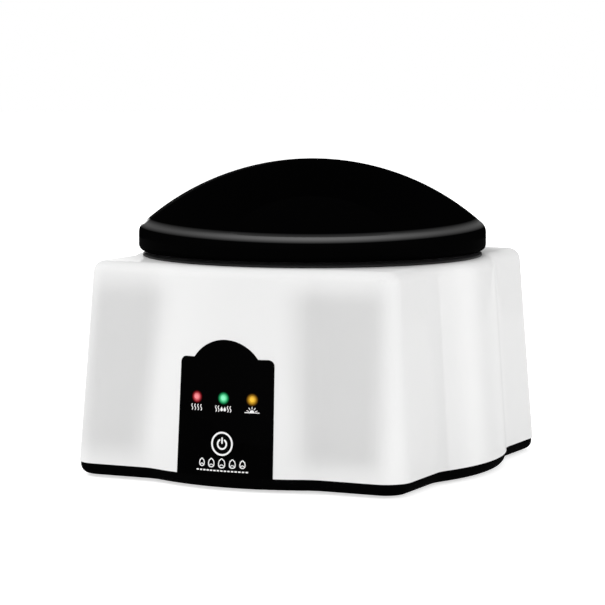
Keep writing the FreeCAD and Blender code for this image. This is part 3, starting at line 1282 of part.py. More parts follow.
# ---------------------------------------------------------------- every node, and its solids
NODES = {
    "housing": make_housing(),
    "base_tray": make_base_tray(),
    "feet": make_feet(),
    "closing_screws": make_closing_screws(),
    "control_panel": make_control_panel(),
    "power_key": make_power_key(),
    "switch_plunger": make_switch_plunger(),
    "switch_body": make_switch_body(),
    "red_lamp": make_lamp(LAMP_XS[0]),
    "green_lamp": make_lamp(LAMP_XS[1]),
    "amber_lamp": make_lamp(LAMP_XS[2]),
    "lamp_chips": make_lamp_chips(),
    "control_board": make_control_board(),
    "control_board_screws": make_control_board_screws(),
    "collar": make_collar(),
    "bowl_gasket": make_bowl_gasket(),
    "heating_bowl": make_heating_bowl(),
    "bowl_screws": make_bowl_screws(),
    "remover_cup": make_remover_cup(),
    "finger_plate": make_finger_plate(),
    "finger_sleeves": make_finger_sleeves(),
    "thermal_pad": make_thermal_pad(),
    "heater": make_heater(),
    "heater_clamp": make_heater_clamp(),
    "clamp_spacers": make_clamp_spacers(),
    "heater_studs": make_heater_studs(),
    "heat_shield": make_heat_shield(),
    "thermostat": make_thermostat(),
    "thermal_cutout": make_thermal_cutout(),
    "lid_shell": make_lid_shell(),
    "lid_liner": make_lid_liner(),
    "lid_seal": make_lid_seal(),
    "lid_screws": make_lid_screws(),
    "power_board": make_power_board(),
    "power_board_screws": make_power_board_screws(),
    "transformer": make_transformer(),
    "relay": make_relay(),
    "terminal_block": make_terminal_block(),
    "board_parts": make_board_parts(),
    "ribbon_sockets": make_ribbon_sockets(),
    "control_ribbon": make_control_ribbon(),
    "mains_leads": make_mains_leads(),
    "heater_leads": make_heater_leads(),
    "cord_gland": make_cord_gland(),
    "inner_flex": make_inner_flex(),
    "cord_clamp": make_cord_clamp(),
    "clamp_screws": make_clamp_screws(),
    "cord_lead": cord_stretch(LEAD_ROUTE, "cord_lead"),
    "cord_coil": make_cord_coil(),
    "cord_tail": cord_stretch(TAIL_ROUTE, "cord_tail"),
    "cord_tie": make_cord_tie(),
    "plug_body": make_plug_body(),
    "plug_pins": make_plug_pins(),
    "plug_earth_contacts": make_plug_earth_contacts(),
    "plug_boot": make_plug_boot(),
}

os.makedirs("parts", exist_ok=True)
for name, solids in NODES.items():
    shape = solids[0] if len(solids) == 1 else Part.Compound(solids)
    shape.exportStep(f"parts/{name}.step")
    state = "valid" if shape.isValid() else "NOT VALID"
    print(f"{name}: {len(shape.Solids)} solids, {shape.Volume / 1000:.2f} cm3, {state}")
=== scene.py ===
"""Gel polish remover machine: finishes, prints, mains cord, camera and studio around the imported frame."""
import json
import math

import bmesh
import bpy
from mathutils import Matrix, Vector
from mathutils.bvhtree import BVHTree


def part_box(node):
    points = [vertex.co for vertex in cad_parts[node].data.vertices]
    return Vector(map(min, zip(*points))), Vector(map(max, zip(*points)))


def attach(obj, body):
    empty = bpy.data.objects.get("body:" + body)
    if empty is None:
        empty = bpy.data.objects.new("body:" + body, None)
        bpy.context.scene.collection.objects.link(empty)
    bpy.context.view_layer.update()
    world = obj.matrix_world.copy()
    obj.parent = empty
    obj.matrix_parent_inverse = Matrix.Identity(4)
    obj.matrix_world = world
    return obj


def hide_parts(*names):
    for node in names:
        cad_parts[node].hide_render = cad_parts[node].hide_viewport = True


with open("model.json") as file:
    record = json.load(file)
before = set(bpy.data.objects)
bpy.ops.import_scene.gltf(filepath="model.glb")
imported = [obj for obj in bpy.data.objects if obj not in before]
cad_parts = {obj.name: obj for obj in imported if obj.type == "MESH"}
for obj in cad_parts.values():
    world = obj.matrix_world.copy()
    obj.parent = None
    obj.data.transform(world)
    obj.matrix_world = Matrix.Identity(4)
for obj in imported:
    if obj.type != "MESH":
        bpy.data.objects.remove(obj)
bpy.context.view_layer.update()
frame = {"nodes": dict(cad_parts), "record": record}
NODES = frame["nodes"]
for packed in list(bpy.data.materials):
    bpy.data.materials.remove(packed)

MM = 0.001
MICRON = 0.000001
FULL_TURN = 2 * math.pi
WHITE = (1.0, 1.0, 1.0, 1.0)

# ---------------------------------------------------------------- camera
CAMERA_AZIMUTH = math.radians(25.207)
CAMERA_ELEVATION = math.radians(5.567)
CAMERA_AWAY = 1459.4 * MM
CAMERA_SIDE = -5.116 * MM
CAMERA_UP = 82.761 * MM
CAMERA_LENS = 168.5
CAMERA_SENSOR = 36.0
CAMERA_NEAREST = 0.05
CAMERA_FARTHEST = 50.0

# Level headings in the machine's own frame: the near side, and the one to the right of it.
NEAR_SIDE = Vector((math.sin(CAMERA_AZIMUTH), -math.cos(CAMERA_AZIMUTH), 0))
RIGHT_SIDE = Vector((math.cos(CAMERA_AZIMUTH), math.sin(CAMERA_AZIMUTH), 0))


def link(thing, name=None):
    """Puts an object in the scene. Given a name, it makes the object for the data first."""
    if name:
        thing = bpy.data.objects.new(name, thing)
    bpy.context.scene.collection.objects.link(thing)
    return thing


def place_camera():
    back = NEAR_SIDE * math.cos(CAMERA_ELEVATION) + Vector((0, 0, math.sin(CAMERA_ELEVATION)))
    up = back.cross(RIGHT_SIDE)
    place = Matrix((RIGHT_SIDE, up, back)).transposed().to_4x4()
    place.translation = RIGHT_SIDE * CAMERA_SIDE + Vector((0, 0, CAMERA_UP)) + back * CAMERA_AWAY
    camera = link(bpy.data.cameras.new("camera"), "camera")
    camera.matrix_world = place
    camera.data.lens = CAMERA_LENS
    camera.data.sensor_width = CAMERA_SENSOR
    camera.data.clip_start = CAMERA_NEAREST
    camera.data.clip_end = CAMERA_FARTHEST
    bpy.context.scene.camera = camera


place_camera()

# ---------------------------------------------------------------- mains cord, sizes in mm
CORD_D = 6.5
LEAD_ROUTE = [
    (0.0, 130.3, 19.0), (0.0, 139.8, 19.0), (1.6, 151.0, 16.8), (4.9, 161.7, 11.5),
    (8.8, 172.4, 6.6), (11.4, 183.9, 4.3), (12.3, 194.8, 3.9),
]
TAIL_ROUTE = [
    (-24.0, 236.3, 9.9), (-37.0, 236.3, 9.2), (-49.7, 234.5, 6.9), (-61.7, 230.2, 4.4),
    (-72.6, 223.0, 3.6), (-81.3, 213.2, 4.4), (-87.4, 201.6, 6.5), (-90.0, 189.2, 8.2),
    (-90.0, 177.0, 8.2),
]
COIL_CENTRE = (-30.0, 194.0)
COIL_POINTS = 16            # to a turn
COIL_BULGE = 1.0194         # the spline runs this much inside its points
COIL_OUTER = 42.3
COIL_INNER = 35.7
COIL_LOW = 3.8
COIL_HIGH = 10.0
COIL_TURNS = 3.2
COIL_PATH = [               # (turns, radius, height), straight between these
    (0.0, COIL_OUTER, COIL_LOW), (0.85, COIL_OUTER, COIL_LOW), (1.02, COIL_INNER, COIL_LOW),
    (1.65, COIL_INNER, COIL_LOW), (1.88, COIL_INNER, COIL_HIGH), (2.45, COIL_INNER, COIL_HIGH),
    (2.62, COIL_OUTER, COIL_HIGH), (4.0, COIL_OUTER, COIL_HIGH),
]
CORD_ORDER = 3
CORD_STEPS = 8              # along the cord, from point to point
CORD_ROUNDNESS = 6


def between(rows, at):
    """The last columns of rows at the given value of the first."""
    for first, second in zip(rows, rows[1:]):
        if at <= second[0]:
            share = (at - first[0]) / (second[0] - first[0])
            return [a + share * (b - a) for a, b in zip(first[1:], second[1:])]
    return rows[-1][1:]


def coil_points():
    points = []
    for step in range(1, int(COIL_TURNS * COIL_POINTS)):
        turns = step / COIL_POINTS
        radius, height = between(COIL_PATH, turns)
        angle = FULL_TURN * turns
        points.append((COIL_CENTRE[0] + COIL_BULGE * radius * math.cos(angle),
                       COIL_CENTRE[1] + COIL_BULGE * radius * math.sin(angle), height))
    return points


def lay_cord():
    points = LEAD_ROUTE + coil_points() + TAIL_ROUTE
    curve = bpy.data.curves.new("mains_cord", "CURVE")
    curve.dimensions = "3D"
    spline = curve.splines.new("NURBS")
    spline.points.add(len(points) - 1)
    for spot, (x, y, z) in zip(spline.points, points):
        spot.co = (x * MM, y * MM, z * MM, 1.0)
        spot.radius = CORD_D / 2 * MM
    spline.order_u = CORD_ORDER
    spline.use_endpoint_u = True
    spline.resolution_u = CORD_STEPS
    curve.bevel_depth = 1.0
    curve.bevel_resolution = CORD_ROUNDNESS
    curve.use_fill_caps = True
    return link(curve, "mains_cord")


def spline_length(cord):
    """Length of the cord's middle line, in metres."""
    depth, cord.data.bevel_depth = cord.data.bevel_depth, 0.0
    line = bpy.data.meshes.new_from_object(cord)
    cord.data.bevel_depth = depth
    spots = [spot.co for spot in line.vertices]
    length = sum((spots[edge.vertices[1]] - spots[edge.vertices[0]]).length for edge in line.edges)
    bpy.data.meshes.remove(line)
    return length


mains_cord = lay_cord()
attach(mains_cord, "base")
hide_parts("cord_lead", "cord_coil", "cord_tail")
CORD_LENGTH = round(spline_length(mains_cord), 3)
print("cord length", CORD_LENGTH)


# ---------------------------------------------------------------- node helpers
def add(tree, kind, inputs=None, **settings):
    """A node with its settings and inputs; an input is a plain value or another node's output."""
    node = tree.nodes.new("ShaderNode" + kind)
    for name, value in settings.items():
        setattr(node, name, value)
    for name, value in (inputs or {}).items():
        if isinstance(value, bpy.types.NodeSocket):
            tree.links.new(value, node.inputs[name])
        else:
            node.inputs[name].default_value = value
    return node


def maths(tree, operation, *values):
    inputs = dict(enumerate(values))
    return add(tree, "Math", inputs, operation=operation).outputs[0]


def product(tree, *values):
    total = values[0]
    for value in values[1:]:
        total = maths(tree, "MULTIPLY", total, value)
    return total


def remap(tree, value, low, high, to_low=0.0, to_high=1.0, smooth=False):
    inputs = {"Value": value, "From Min": low, "From Max": high, "To Min": to_low, "To Max": to_high}
    kind = "SMOOTHSTEP" if smooth else "LINEAR"
    return add(tree, "MapRange", inputs, interpolation_type=kind).outputs[0]


def step_at(tree, value, at, fade):
    """Rises from 0 to 1 over the fade around a place. With a negative fade it falls from 1 to 0."""
    return remap(tree, value, at - fade / 2, at + fade / 2, smooth=True)


def window(tree, value, low, high, fade):
    """1 between low and high, falling to 0 over the fade around each."""
    return product(tree, step_at(tree, value, low, fade), step_at(tree, value, high, -fade))


def blend(tree, share, first, second):
    """The first colour at a share of 0, the second at 1."""
    return add(tree, "Mix", {"Factor": share, 6: first, 7: second}, data_type="RGBA").outputs[2]


def scaled(tree, colour, by):
    return add(tree, "VectorMath", {0: colour, "Scale": by}, operation="SCALE").outputs[0]


def object_place(tree):
    return add(tree, "TexCoord").outputs["Object"]


def upright(tree):
    """1 on a face that looks up, 0 on a wall, -1 on a face that looks down."""
    normal = add(tree, "NewGeometry").outputs["Normal"]
    return add(tree, "SeparateXYZ", {0: normal}).outputs["Z"]


def reach(tree, heading):
    """How far a place on the piece lies along a heading."""
    inputs = {0: object_place(tree), 1: heading}
    return add(tree, "VectorMath", inputs, operation="DOT_PRODUCT").outputs["Value"]


def start_group(name, inputs, outputs):
    """An empty shader group with its sockets, and the sockets as seen from inside it."""
    tree = bpy.data.node_groups.new(name, "ShaderNodeTree")
    for label, value in inputs.items():
        kind = "NodeSocketFloat"
        if isinstance(value, tuple):
            kind = "NodeSocketColor" if len(value) == 4 else "NodeSocketVector"
        tree.interface.new_socket(name=label, in_out="INPUT", socket_type=kind).default_value = value
    for label, kind in outputs.items():
        tree.interface.new_socket(name=label, in_out="OUTPUT", socket_type="NodeSocket" + kind)
    given = tree.nodes.new("NodeGroupInput").outputs
    result = tree.nodes.new("NodeGroupOutput").inputs
    return tree, given, result


def use(tree, group, **inputs):
    """Places a group in a material. Spaces in its socket names are written as underscores."""
    node = tree.nodes.new("ShaderNodeGroup")
    node.node_tree = group
    for name, value in inputs.items():
        socket = node.inputs[name.replace("_", " ")]
        if isinstance(value, bpy.types.NodeSocket):
            tree.links.new(value, socket)
        else:
            socket.default_value = value
    return node.outputs


# ---------------------------------------------------------------- shared effects
def make_colour_mottle():
    """Faint unevenness of the pigment."""
    tree, given, result = start_group(
        "colour_mottle",
        {"Color": (0.8, 0.8, 0.8, 1.0), "Amount": 0.02, "Size": 0.02},
        {"Color": "Color"})
    scale = maths(tree, "DIVIDE", 1.0, given["Size"])
    noise = add(tree, "TexNoise", {"Vector": object_place(tree), "Scale": scale, "Detail": 3.0})
    centred = remap(tree, noise.outputs[0], 0.3, 0.7, -1.0, 1.0)
    factor = maths(tree, "MULTIPLY_ADD", centred, given["Amount"], 1.0)
    tree.links.new(scaled(tree, given["Color"], factor), result["Color"])
    return tree


def make_handling_marks():
    """Roughness that varies with smudges and hairline scratches."""
    tree, given, result = start_group(
        "handling_marks",
        {"Roughness": 0.3, "Smudge": 0.05, "Scratch": 0.05, "Size": 0.02},
        {"Roughness": "Float"})
    place = object_place(tree)
    scale = maths(tree, "DIVIDE", 1.0, given["Size"])
    smudge = add(tree, "TexNoise", {"Vector": place, "Scale": scale, "Detail": 4.0, "Roughness": 0.6})
    smudge = remap(tree, smudge.outputs[0], 0.42, 0.72, smooth=True)
    drawn_out = {"Vector": place, "Rotation": (0.4, 0.9, 0.3), "Scale": (90.0, 2600.0, 2600.0)}
    along = add(tree, "Mapping", drawn_out).outputs[0]
    lines = add(tree, "TexNoise", {"Vector": along, "Scale": 1.0, "Detail": 1.0})
    lines = remap(tree, lines.outputs[0], 0.68, 0.74)
    rough = maths(tree, "MULTIPLY_ADD", smudge, given["Smudge"], given["Roughness"])
    rough = maths(tree, "MULTIPLY_ADD", lines, given["Scratch"], rough)
    tree.links.new(rough, result["Roughness"])
    return tree


def make_surface_texture():
    """Height of a moulded skin, from faint orange peel to a spark-eroded grain."""
    tree, given, result = start_group(
        "surface_texture",
        {"Size": 0.002, "Depth": 0.00001, "Detail": 2.0},
        {"Height": "Float"})
    scale = maths(tree, "DIVIDE", 1.0, given["Size"])
    noise = add(tree, "TexNoise", {"Vector": object_place(tree), "Scale": scale, "Detail": given["Detail"]})
    tree.links.new(product(tree, noise.outputs[0], given["Depth"]), result["Height"])
    return tree


def make_settled_dust():
    """A mask of the faces that look up, broken by noise."""
    tree, given, result = start_group("settled_dust", {"Amount": 0.1}, {"Mask": "Float"})
    facing = remap(tree, upright(tree), 0.55, 1.0, smooth=True)
    grit = {"Vector": object_place(tree), "Scale": 320.0, "Detail": 5.0, "Roughness": 0.7}
    specks = remap(tree, add(tree, "TexNoise", grit).outputs[0], 0.45, 0.75, smooth=True)
    tree.links.new(product(tree, facing, specks, given["Amount"]), result["Mask"])
    return tree


def make_turned_lines():
    """Rings of a spun, pressed or ground metal face, around the upright axis."""
    tree, given, result = start_group(
        "turned_lines",
        {"Pitch": 0.0006, "Depth": 0.000004, "Tone": 0.08},
        {"Tone": "Float", "Height": "Float"})
    parts = add(tree, "SeparateXYZ", {0: object_place(tree)}).outputs
    level = add(tree, "CombineXYZ", {0: parts["X"], 1: parts["Y"], 2: 0.0}).outputs[0]
    radius = add(tree, "VectorMath", {0: level}, operation="LENGTH").outputs["Value"]
    across = maths(tree, "DIVIDE", maths(tree, "ADD", radius, parts["Z"]), given["Pitch"])
    around = maths(tree, "ARCTAN2", parts["Y"], parts["X"])
    at = add(tree, "CombineXYZ", {0: across, 1: around, 2: 0.0}).outputs[0]
    noise = add(tree, "TexNoise", {"Vector": at, "Scale": 1.0, "Detail": 3.0}).outputs[0]
    centred = maths(tree, "SUBTRACT", noise, 0.5)
    tree.links.new(maths(tree, "MULTIPLY_ADD", centred, given["Tone"], 1.0), result["Tone"])
    tree.links.new(product(tree, noise, given["Depth"]), result["Height"])
    return tree


def make_lamp_glow():
    """Light in and around a lamp, from the core colour to the halo colour and to nothing; the halo beyond
    the lens is a painted glow.
    """
    tree, given, result = start_group(
        "lamp_glow",
        {"Centre": (0.0, 0.0, 0.0), "Core": 0.0004, "Halo": 0.0033,
         "Core Color": (1.0, 1.0, 1.0, 1.0), "Halo Color": (0.5, 0.5, 0.5, 1.0)},
        {"Color": "Color"})
    ends = {0: object_place(tree), 1: given["Centre"]}
    away = add(tree, "VectorMath", ends, operation="DISTANCE").outputs["Value"]
    near = remap(tree, away, given["Halo"], given["Core"], smooth=True)
    colour = blend(tree, near, given["Halo Color"], given["Core Color"])
    tree.links.new(scaled(tree, colour, near), result["Color"])
    return tree


def make_board_tracks():
    """Copper tracks under the mask of a circuit board."""
    tree, given, result = start_group(
        "board_tracks",
        {"Mask Color": (0.01, 0.09, 0.03, 1.0), "Track Color": (0.02, 0.16, 0.05, 1.0)},
        {"Color": "Color", "Height": "Float"})
    rows = {"Vector": object_place(tree), "Scale": 90.0, "Mortar Size": 0.05, "Brick Width": 0.9,
            "Row Height": 0.35}
    track = remap(tree, add(tree, "TexBrick", rows).outputs["Fac"], 0.1, 0.6)
    tree.links.new(blend(tree, track, given["Mask Color"], given["Track Color"]), result["Color"])
    tree.links.new(product(tree, track, 30 * MICRON), result["Height"])
    return tree


def make_painted_highlight_band():
    """A mask of a band around the part, with soft edges, that paints where a highlight shows. Bow lifts it
    towards the left and right ends, where the highlight sits higher.
    """
    tree, given, result = start_group(
        "painted_highlight_band",
        {"Low": 0.0, "High": 1.0, "Fade": 0.001, "Bow": 0.0, "Inside": 1.0, "Outside": 0.0},
        {"Value": "Float"})
    across = reach(tree, RIGHT_SIDE)
    lift = product(tree, across, across, given["Bow"])
    z = maths(tree, "SUBTRACT", reach(tree, (0.0, 0.0, 1.0)), lift)
    low_end = maths(tree, "ADD", given["Low"], given["Fade"])
    high_end = maths(tree, "SUBTRACT", given["High"], given["Fade"])
    mask = product(tree, remap(tree, z, given["Low"], low_end), remap(tree, z, given["High"], high_end))
    span = maths(tree, "SUBTRACT", given["Inside"], given["Outside"])
    tree.links.new(maths(tree, "MULTIPLY_ADD", mask, span, given["Outside"]), result["Value"])
    return tree


COLOUR_MOTTLE = make_colour_mottle()
HANDLING_MARKS = make_handling_marks()
SURFACE_TEXTURE = make_surface_texture()
SETTLED_DUST = make_settled_dust()
TURNED_LINES = make_turned_lines()
LAMP_GLOW = make_lamp_glow()
BOARD_TRACKS = make_board_tracks()
PAINTED_HIGHLIGHT_BAND = make_painted_highlight_band()

# ---------------------------------------------------------------- finishes
DUST_COLOUR = (0.42, 0.41, 0.39, 1.0)
BLACK = (0.0005, 0.0005, 0.00055)
TRAY_BLACK = (0.0008, 0.0008, 0.0009)
TRAY_BELOW = (0.035, 0.035, 0.036, 1.0)
GLOSS_COAT = {"Coat_Roughness": 0.03, "Coat_IOR": 1.5}
FINISHES = {}


def start_finish(name, **sockets):
    """A new material's nodes and its Principled shader. Sockets are named with underscores."""
    material = bpy.data.materials.new(name)
    material.use_nodes = True
    FINISHES[name] = material
    tree = material.node_tree
    shader = tree.nodes["Principled BSDF"]
    for label, value in sockets.items():
        shader.inputs[label.replace("_", " ")].default_value = value
    return tree, shader


def bump(tree, shader, height):
    node = add(tree, "Bump", {"Height": height, "Distance": 1.0, "Strength": 1.0})
    tree.links.new(node.outputs["Normal"], shader.inputs["Normal"])


def moulded(name, colour, roughness, grain=2.0, depth=2.0, mottle=0.015, smudge=0.04, scratch=0.03,
            dust=0.0, **sockets):
    """Moulded plastic, rubber or silicone, with a grain in mm and a depth in microns."""
    tree, shader = start_finish(name, **sockets)
    tint = use(tree, COLOUR_MOTTLE, Color=(*colour, 1.0), Amount=mottle, Size=0.02)["Color"]
    if dust:
        tint = blend(tree, use(tree, SETTLED_DUST, Amount=dust)["Mask"], tint, DUST_COLOUR)
    tree.links.new(tint, shader.inputs["Base Color"])
    rough = use(tree, HANDLING_MARKS, Roughness=roughness, Smudge=smudge, Scratch=scratch)["Roughness"]
    tree.links.new(rough, shader.inputs["Roughness"])
    bump(tree, shader, use(tree, SURFACE_TEXTURE, Size=grain * MM, Depth=depth * MICRON)["Height"])
    return tree, shader


def metal(name, colour, roughness, pitch=0.6, depth=3.0, tone=0.1):
    """Turned, pressed or plated metal, with a pitch in mm and a depth in microns."""
    tree, shader = start_finish(name, Metallic=1.0)
    lines = use(tree, TURNED_LINES, Pitch=pitch * MM, Depth=depth * MICRON, Tone=tone)
    tint = use(tree, COLOUR_MOTTLE, Color=(*colour, 1.0), Amount=0.03, Size=0.015)["Color"]
    tree.links.new(scaled(tree, tint, lines["Tone"]), shader.inputs["Base Color"])
    rough = use(tree, HANDLING_MARKS, Roughness=roughness, Smudge=0.03, Scratch=0.04)["Roughness"]
    tree.links.new(rough, shader.inputs["Roughness"])
    bump(tree, shader, lines["Height"])


moulded("white_gloss", (0.79, 0.79, 0.788), 0.4, grain=4.0, depth=1.5, mottle=0.004, smudge=0.03,
        Specular_IOR_Level=0.0, Coat_Weight=0.2, Coat_Roughness=0.06, Coat_IOR=1.5)
moulded("black_gloss", BLACK, 0.35, Specular_IOR_Level=0.0, Coat_Weight=0.01, **GLOSS_COAT)
# The collar's near black is partly painted shade: it stands in for the shadow gap between the lid and the
# top of the housing.
moulded("collar_black_painted_shade", (0.012, 0.012, 0.0124), 0.45, Specular_IOR_Level=0.05, Coat_Weight=0.03,
        **GLOSS_COAT)
moulded("black_satin", (0.009, 0.009, 0.0095), 0.5, grain=0.8, depth=6.0, dust=0.08, Specular_IOR_Level=0.35)
moulded("dark_grey", (0.045, 0.045, 0.048), 0.42, grain=0.7, depth=6.0, dust=0.1, Specular_IOR_Level=0.4)
moulded("liner_grey", (0.20, 0.20, 0.205), 0.45, grain=0.8, depth=6.0, Specular_IOR_Level=0.4)
moulded("silicone", (0.30, 0.30, 0.305), 0.55, grain=0.6, depth=4.0, mottle=0.03,
        Specular_IOR_Level=0.4, Sheen_Weight=0.15, Sheen_Roughness=0.5)
moulded("foot_rubber", (0.012, 0.012, 0.012), 0.75, grain=0.5, depth=10.0, mottle=0.06, dust=0.1,
        Specular_IOR_Level=0.3)
moulded("cord_rubber", (0.0075, 0.0075, 0.008), 0.42, grain=0.7, depth=10.0, mottle=0.05, dust=0.12,
        Specular_IOR_Level=0.4)
moulded("heater_ceramic", (0.72, 0.70, 0.64), 0.7, grain=0.6, depth=10.0, mottle=0.05)
moulded("relay_blue", (0.01, 0.06, 0.30), 0.35, depth=3.0, Specular_IOR_Level=0.4)
moulded("terminal_green", (0.01, 0.22, 0.06), 0.38, depth=3.0, Specular_IOR_Level=0.4)
moulded("component_yellow", (0.62, 0.36, 0.02), 0.35, depth=3.0, mottle=0.05)
moulded("socket_cream", (0.66, 0.60, 0.46), 0.4, depth=3.0)
moulded("ribbon_grey", (0.30, 0.30, 0.31), 0.45, grain=1.2, depth=20.0, mottle=0.06)
moulded("lead_brown", (0.10, 0.035, 0.012), 0.4, depth=4.0, mottle=0.05)
moulded("lead_white", (0.70, 0.70, 0.68), 0.4, depth=4.0, mottle=0.04)
moulded("chip_clear", (0.75, 0.78, 0.74), 0.15, depth=1.0, Specular_IOR_Level=0.5)
metal("pressed_aluminium", (0.80, 0.80, 0.81), 0.26, pitch=0.5, tone=0.12)
metal("stainless", (0.56, 0.56, 0.57), 0.22, pitch=0.4, depth=2.0)
metal("zinc_steel", (0.58, 0.59, 0.60), 0.34, pitch=0.8, depth=4.0)
metal("core_steel", (0.20, 0.20, 0.21), 0.45, pitch=0.5, depth=10.0, tone=0.3)
metal("pin_chrome", (0.62, 0.62, 0.64), 0.1, depth=1.0, tone=0.05)


def tray_gloss():
    """Black gloss on the sides of the tray, and a matt spark-eroded face below."""
    tree, shader = moulded("tray_black", TRAY_BLACK, 0.4, grain=0.7,
                           Specular_IOR_Level=0.0, Coat_Weight=0.01, **GLOSS_COAT)
    below = remap(tree, upright(tree), -0.9, -0.99, smooth=True)
    gloss = shader.inputs["Base Color"].links[0].from_socket
    matt = use(tree, COLOUR_MOTTLE, Color=TRAY_BELOW, Amount=0.06, Size=0.002)["Color"]
    tree.links.new(blend(tree, below, gloss, matt), shader.inputs["Base Color"])


def lid_gloss():
    """Black gloss with its coat only along the shoulder of the lid: a painted highlight band, so that only
    the shoulder shows a reflection.
    """
    tree, shader = moulded("lid_black", BLACK, 0.35, Specular_IOR_Level=0.0, **GLOSS_COAT)
    # painted highlight: the coat, and so the reflection, is placed only in this band on the shoulder
    band = use(tree, PAINTED_HIGHLIGHT_BAND, Low=119.9 * MM, High=124.6 * MM, Fade=2.0 * MM, Bow=0.35,
               Inside=1.0, Outside=0.006)["Value"]
    tree.links.new(band, shader.inputs["Coat Weight"])


LAMPS = {                   # node: core colour, halo colour
    "red_lamp": ((1.0, 0.27, 0.30), (0.9, 0.0, 0.02)),
    "green_lamp": ((0.26, 1.0, 0.565), (0.0, 1.0, 0.3)),
    "amber_lamp": ((1.0, 0.59, 0.045), (0.8, 0.35, 0.02)),
}
LAMP_CORE = 0.4 * MM
LAMP_HALO = 3.3 * MM
LENS_TINT = 0.04            # of the core colour, when the lamp is out


def lamp_light(tree, node):
    """The glow of one lamp, around the middle of its front."""
    low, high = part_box(node)
    centre = Vector(((low.x + high.x) / 2, low.y, (low.z + high.z) / 2))
    core, halo = LAMPS[node]
    return use(tree, LAMP_GLOW, Centre=centre, Core=LAMP_CORE, Halo=LAMP_HALO,
               Core_Color=(*core, 1.0), Halo_Color=(*halo, 1.0))["Color"]


def panel_gloss():
    """Black gloss of the control panel, with a painted glow around each lamp."""
    tree, shader = moulded("panel_black", BLACK, 0.35, Specular_IOR_Level=0.0, Coat_Weight=0.007,
                           Emission_Strength=1.0, **GLOSS_COAT)
    # painted glow: the panel itself emits the halo around each lamp
    red, green, amber = [lamp_light(tree, node) for node in LAMPS]
    total = add(tree, "VectorMath", {0: red, 1: green}, operation="ADD").outputs[0]
    total = add(tree, "VectorMath", {0: total, 1: amber}, operation="ADD").outputs[0]
    tree.links.new(total, shader.inputs["Emission Color"])


def lens(name, node):
    """Tinted lamp lens, lit from behind."""
    tint = tuple(LENS_TINT * part for part in LAMPS[node][0])
    tree, shader = moulded(name, tint, 0.2, depth=1.0, Emission_Strength=1.0, Specular_IOR_Level=0.1)
    tree.links.new(lamp_light(tree, node), shader.inputs["Emission Color"])


def board_finish():
    """Green circuit board with its tracks."""
    tree, shader = start_finish("board_green", Roughness=0.35)
    tracks = use(tree, BOARD_TRACKS, Mask_Color=(0.008, 0.075, 0.028, 1.0),
                 Track_Color=(0.015, 0.14, 0.05, 1.0))
    tint = use(tree, COLOUR_MOTTLE, Color=tracks["Color"], Amount=0.04, Size=0.01)["Color"]
    tree.links.new(tint, shader.inputs["Base Color"])
    bump(tree, shader, tracks["Height"])


tray_gloss()
lid_gloss()
panel_gloss()
lens("red_lens", "red_lamp")
lens("green_lens", "green_lamp")
lens("amber_lens", "amber_lamp")
board_finish()
moulded("white_ink", (0.83, 0.83, 0.83), 0.6, depth=1.0, mottle=0.01, Specular_IOR_Level=0.2)

NODE_SLOTS = {row["node"]: row["material_slot"] for row in frame["record"]["subparts"]}
OWN_FINISH = {
    "lid_shell": "lid_black",
    "control_panel": "panel_black",
    "base_tray": "tray_black",
    "collar": "collar_black_painted_shade",
}


def dress(thing, finish):
    thing.data.materials.clear()
    thing.data.materials.append(FINISHES[finish])


for name, node in NODES.items():
    dress(node, OWN_FINISH.get(name, NODE_SLOTS[name]))
dress(mains_cord, "cord_rubber")

# ---------------------------------------------------------------- printed marks, sizes in mm
INK_UP = 0.05               # the print stands this far over the skin
INK_DOWN = 0.1              # and its edge reaches this far into it
RING_STEPS = 72
WAVE_STEPS = 12
LOOK_FROM = -0.3            # in metres, in front of the machine

KEY_Z = 23.1
KEY_RING = (5.85, 4.95)     # outer and inner radius
POWER_R = 2.35
POWER_LINE = 0.85
SIGN_Z = 40.0
SIGN_H = 2.7
SIGN_LINE = 0.42
RAY_LINE = 0.36
SIGN_PITCH = 15.0           # from lamp to lamp
NAIL_Z = 13.6
NAILS = [                   # x, height, half width
    (-11.0, 3.6, 1.3), (-5.7, 4.1, 1.5), (0.0, 4.4, 1.65), (5.7, 4.1, 1.5), (11.0, 3.6, 1.3),
]
NAIL_LINE = 0.5
MOON_LINE = 0.4
RULE_Z = 9.9
RULE_DOTS = 15
RULE_PITCH = 1.9
RULE_LINE = 0.7


class Skin:
    """The front of a CAD node, found by looking along +Y at a place given in x and z."""

    def __init__(self, node):
        mesh = NODES[node].data
        self.tree = BVHTree.FromPolygons([v.co for v in mesh.vertices], [p.vertices for p in mesh.polygons])

    def at(self, x, z, lift):
        hit, normal, _, _ = self.tree.ray_cast(Vector((x * MM, LOOK_FROM, z * MM)), Vector((0, 1, 0)))
        if normal.y > 0:
            normal = -normal
        return hit + normal * (lift * MM)


def arc(cx, cz, radius, start, end, steps=24, squash=1.0):
    """Points on an arc, angles in degrees anticlockwise from +x."""
    angles = [math.radians(start + (end - start) * i / steps) for i in range(steps + 1)]
    return [(cx + radius * math.cos(a), cz + squash * radius * math.sin(a)) for a in angles]


def stroke(points, width):
    """Outline of a line with round ends."""
    half = width / 2
    sides = [[], []]
    headings = []
    for i, (x, z) in enumerate(points):
        x0, z0 = points[max(i - 1, 0)]
        x1, z1 = points[min(i + 1, len(points) - 1)]
        heading = math.atan2(z1 - z0, x1 - x0)
        headings.append(heading)
        for side, turn in zip(sides, (1, -1)):
            side.append((x - turn * half * math.sin(heading), z + turn * half * math.cos(heading)))
    first, last = math.degrees(headings[0]), math.degrees(headings[-1])
    end_cap = arc(*points[-1], half, last + 90, last - 90, steps=8)[1:-1]
    start_cap = arc(*points[0], half, first - 90, first - 270, steps=8)[1:-1]
    return sides[0] + end_cap + sides[1][::-1] + start_cap


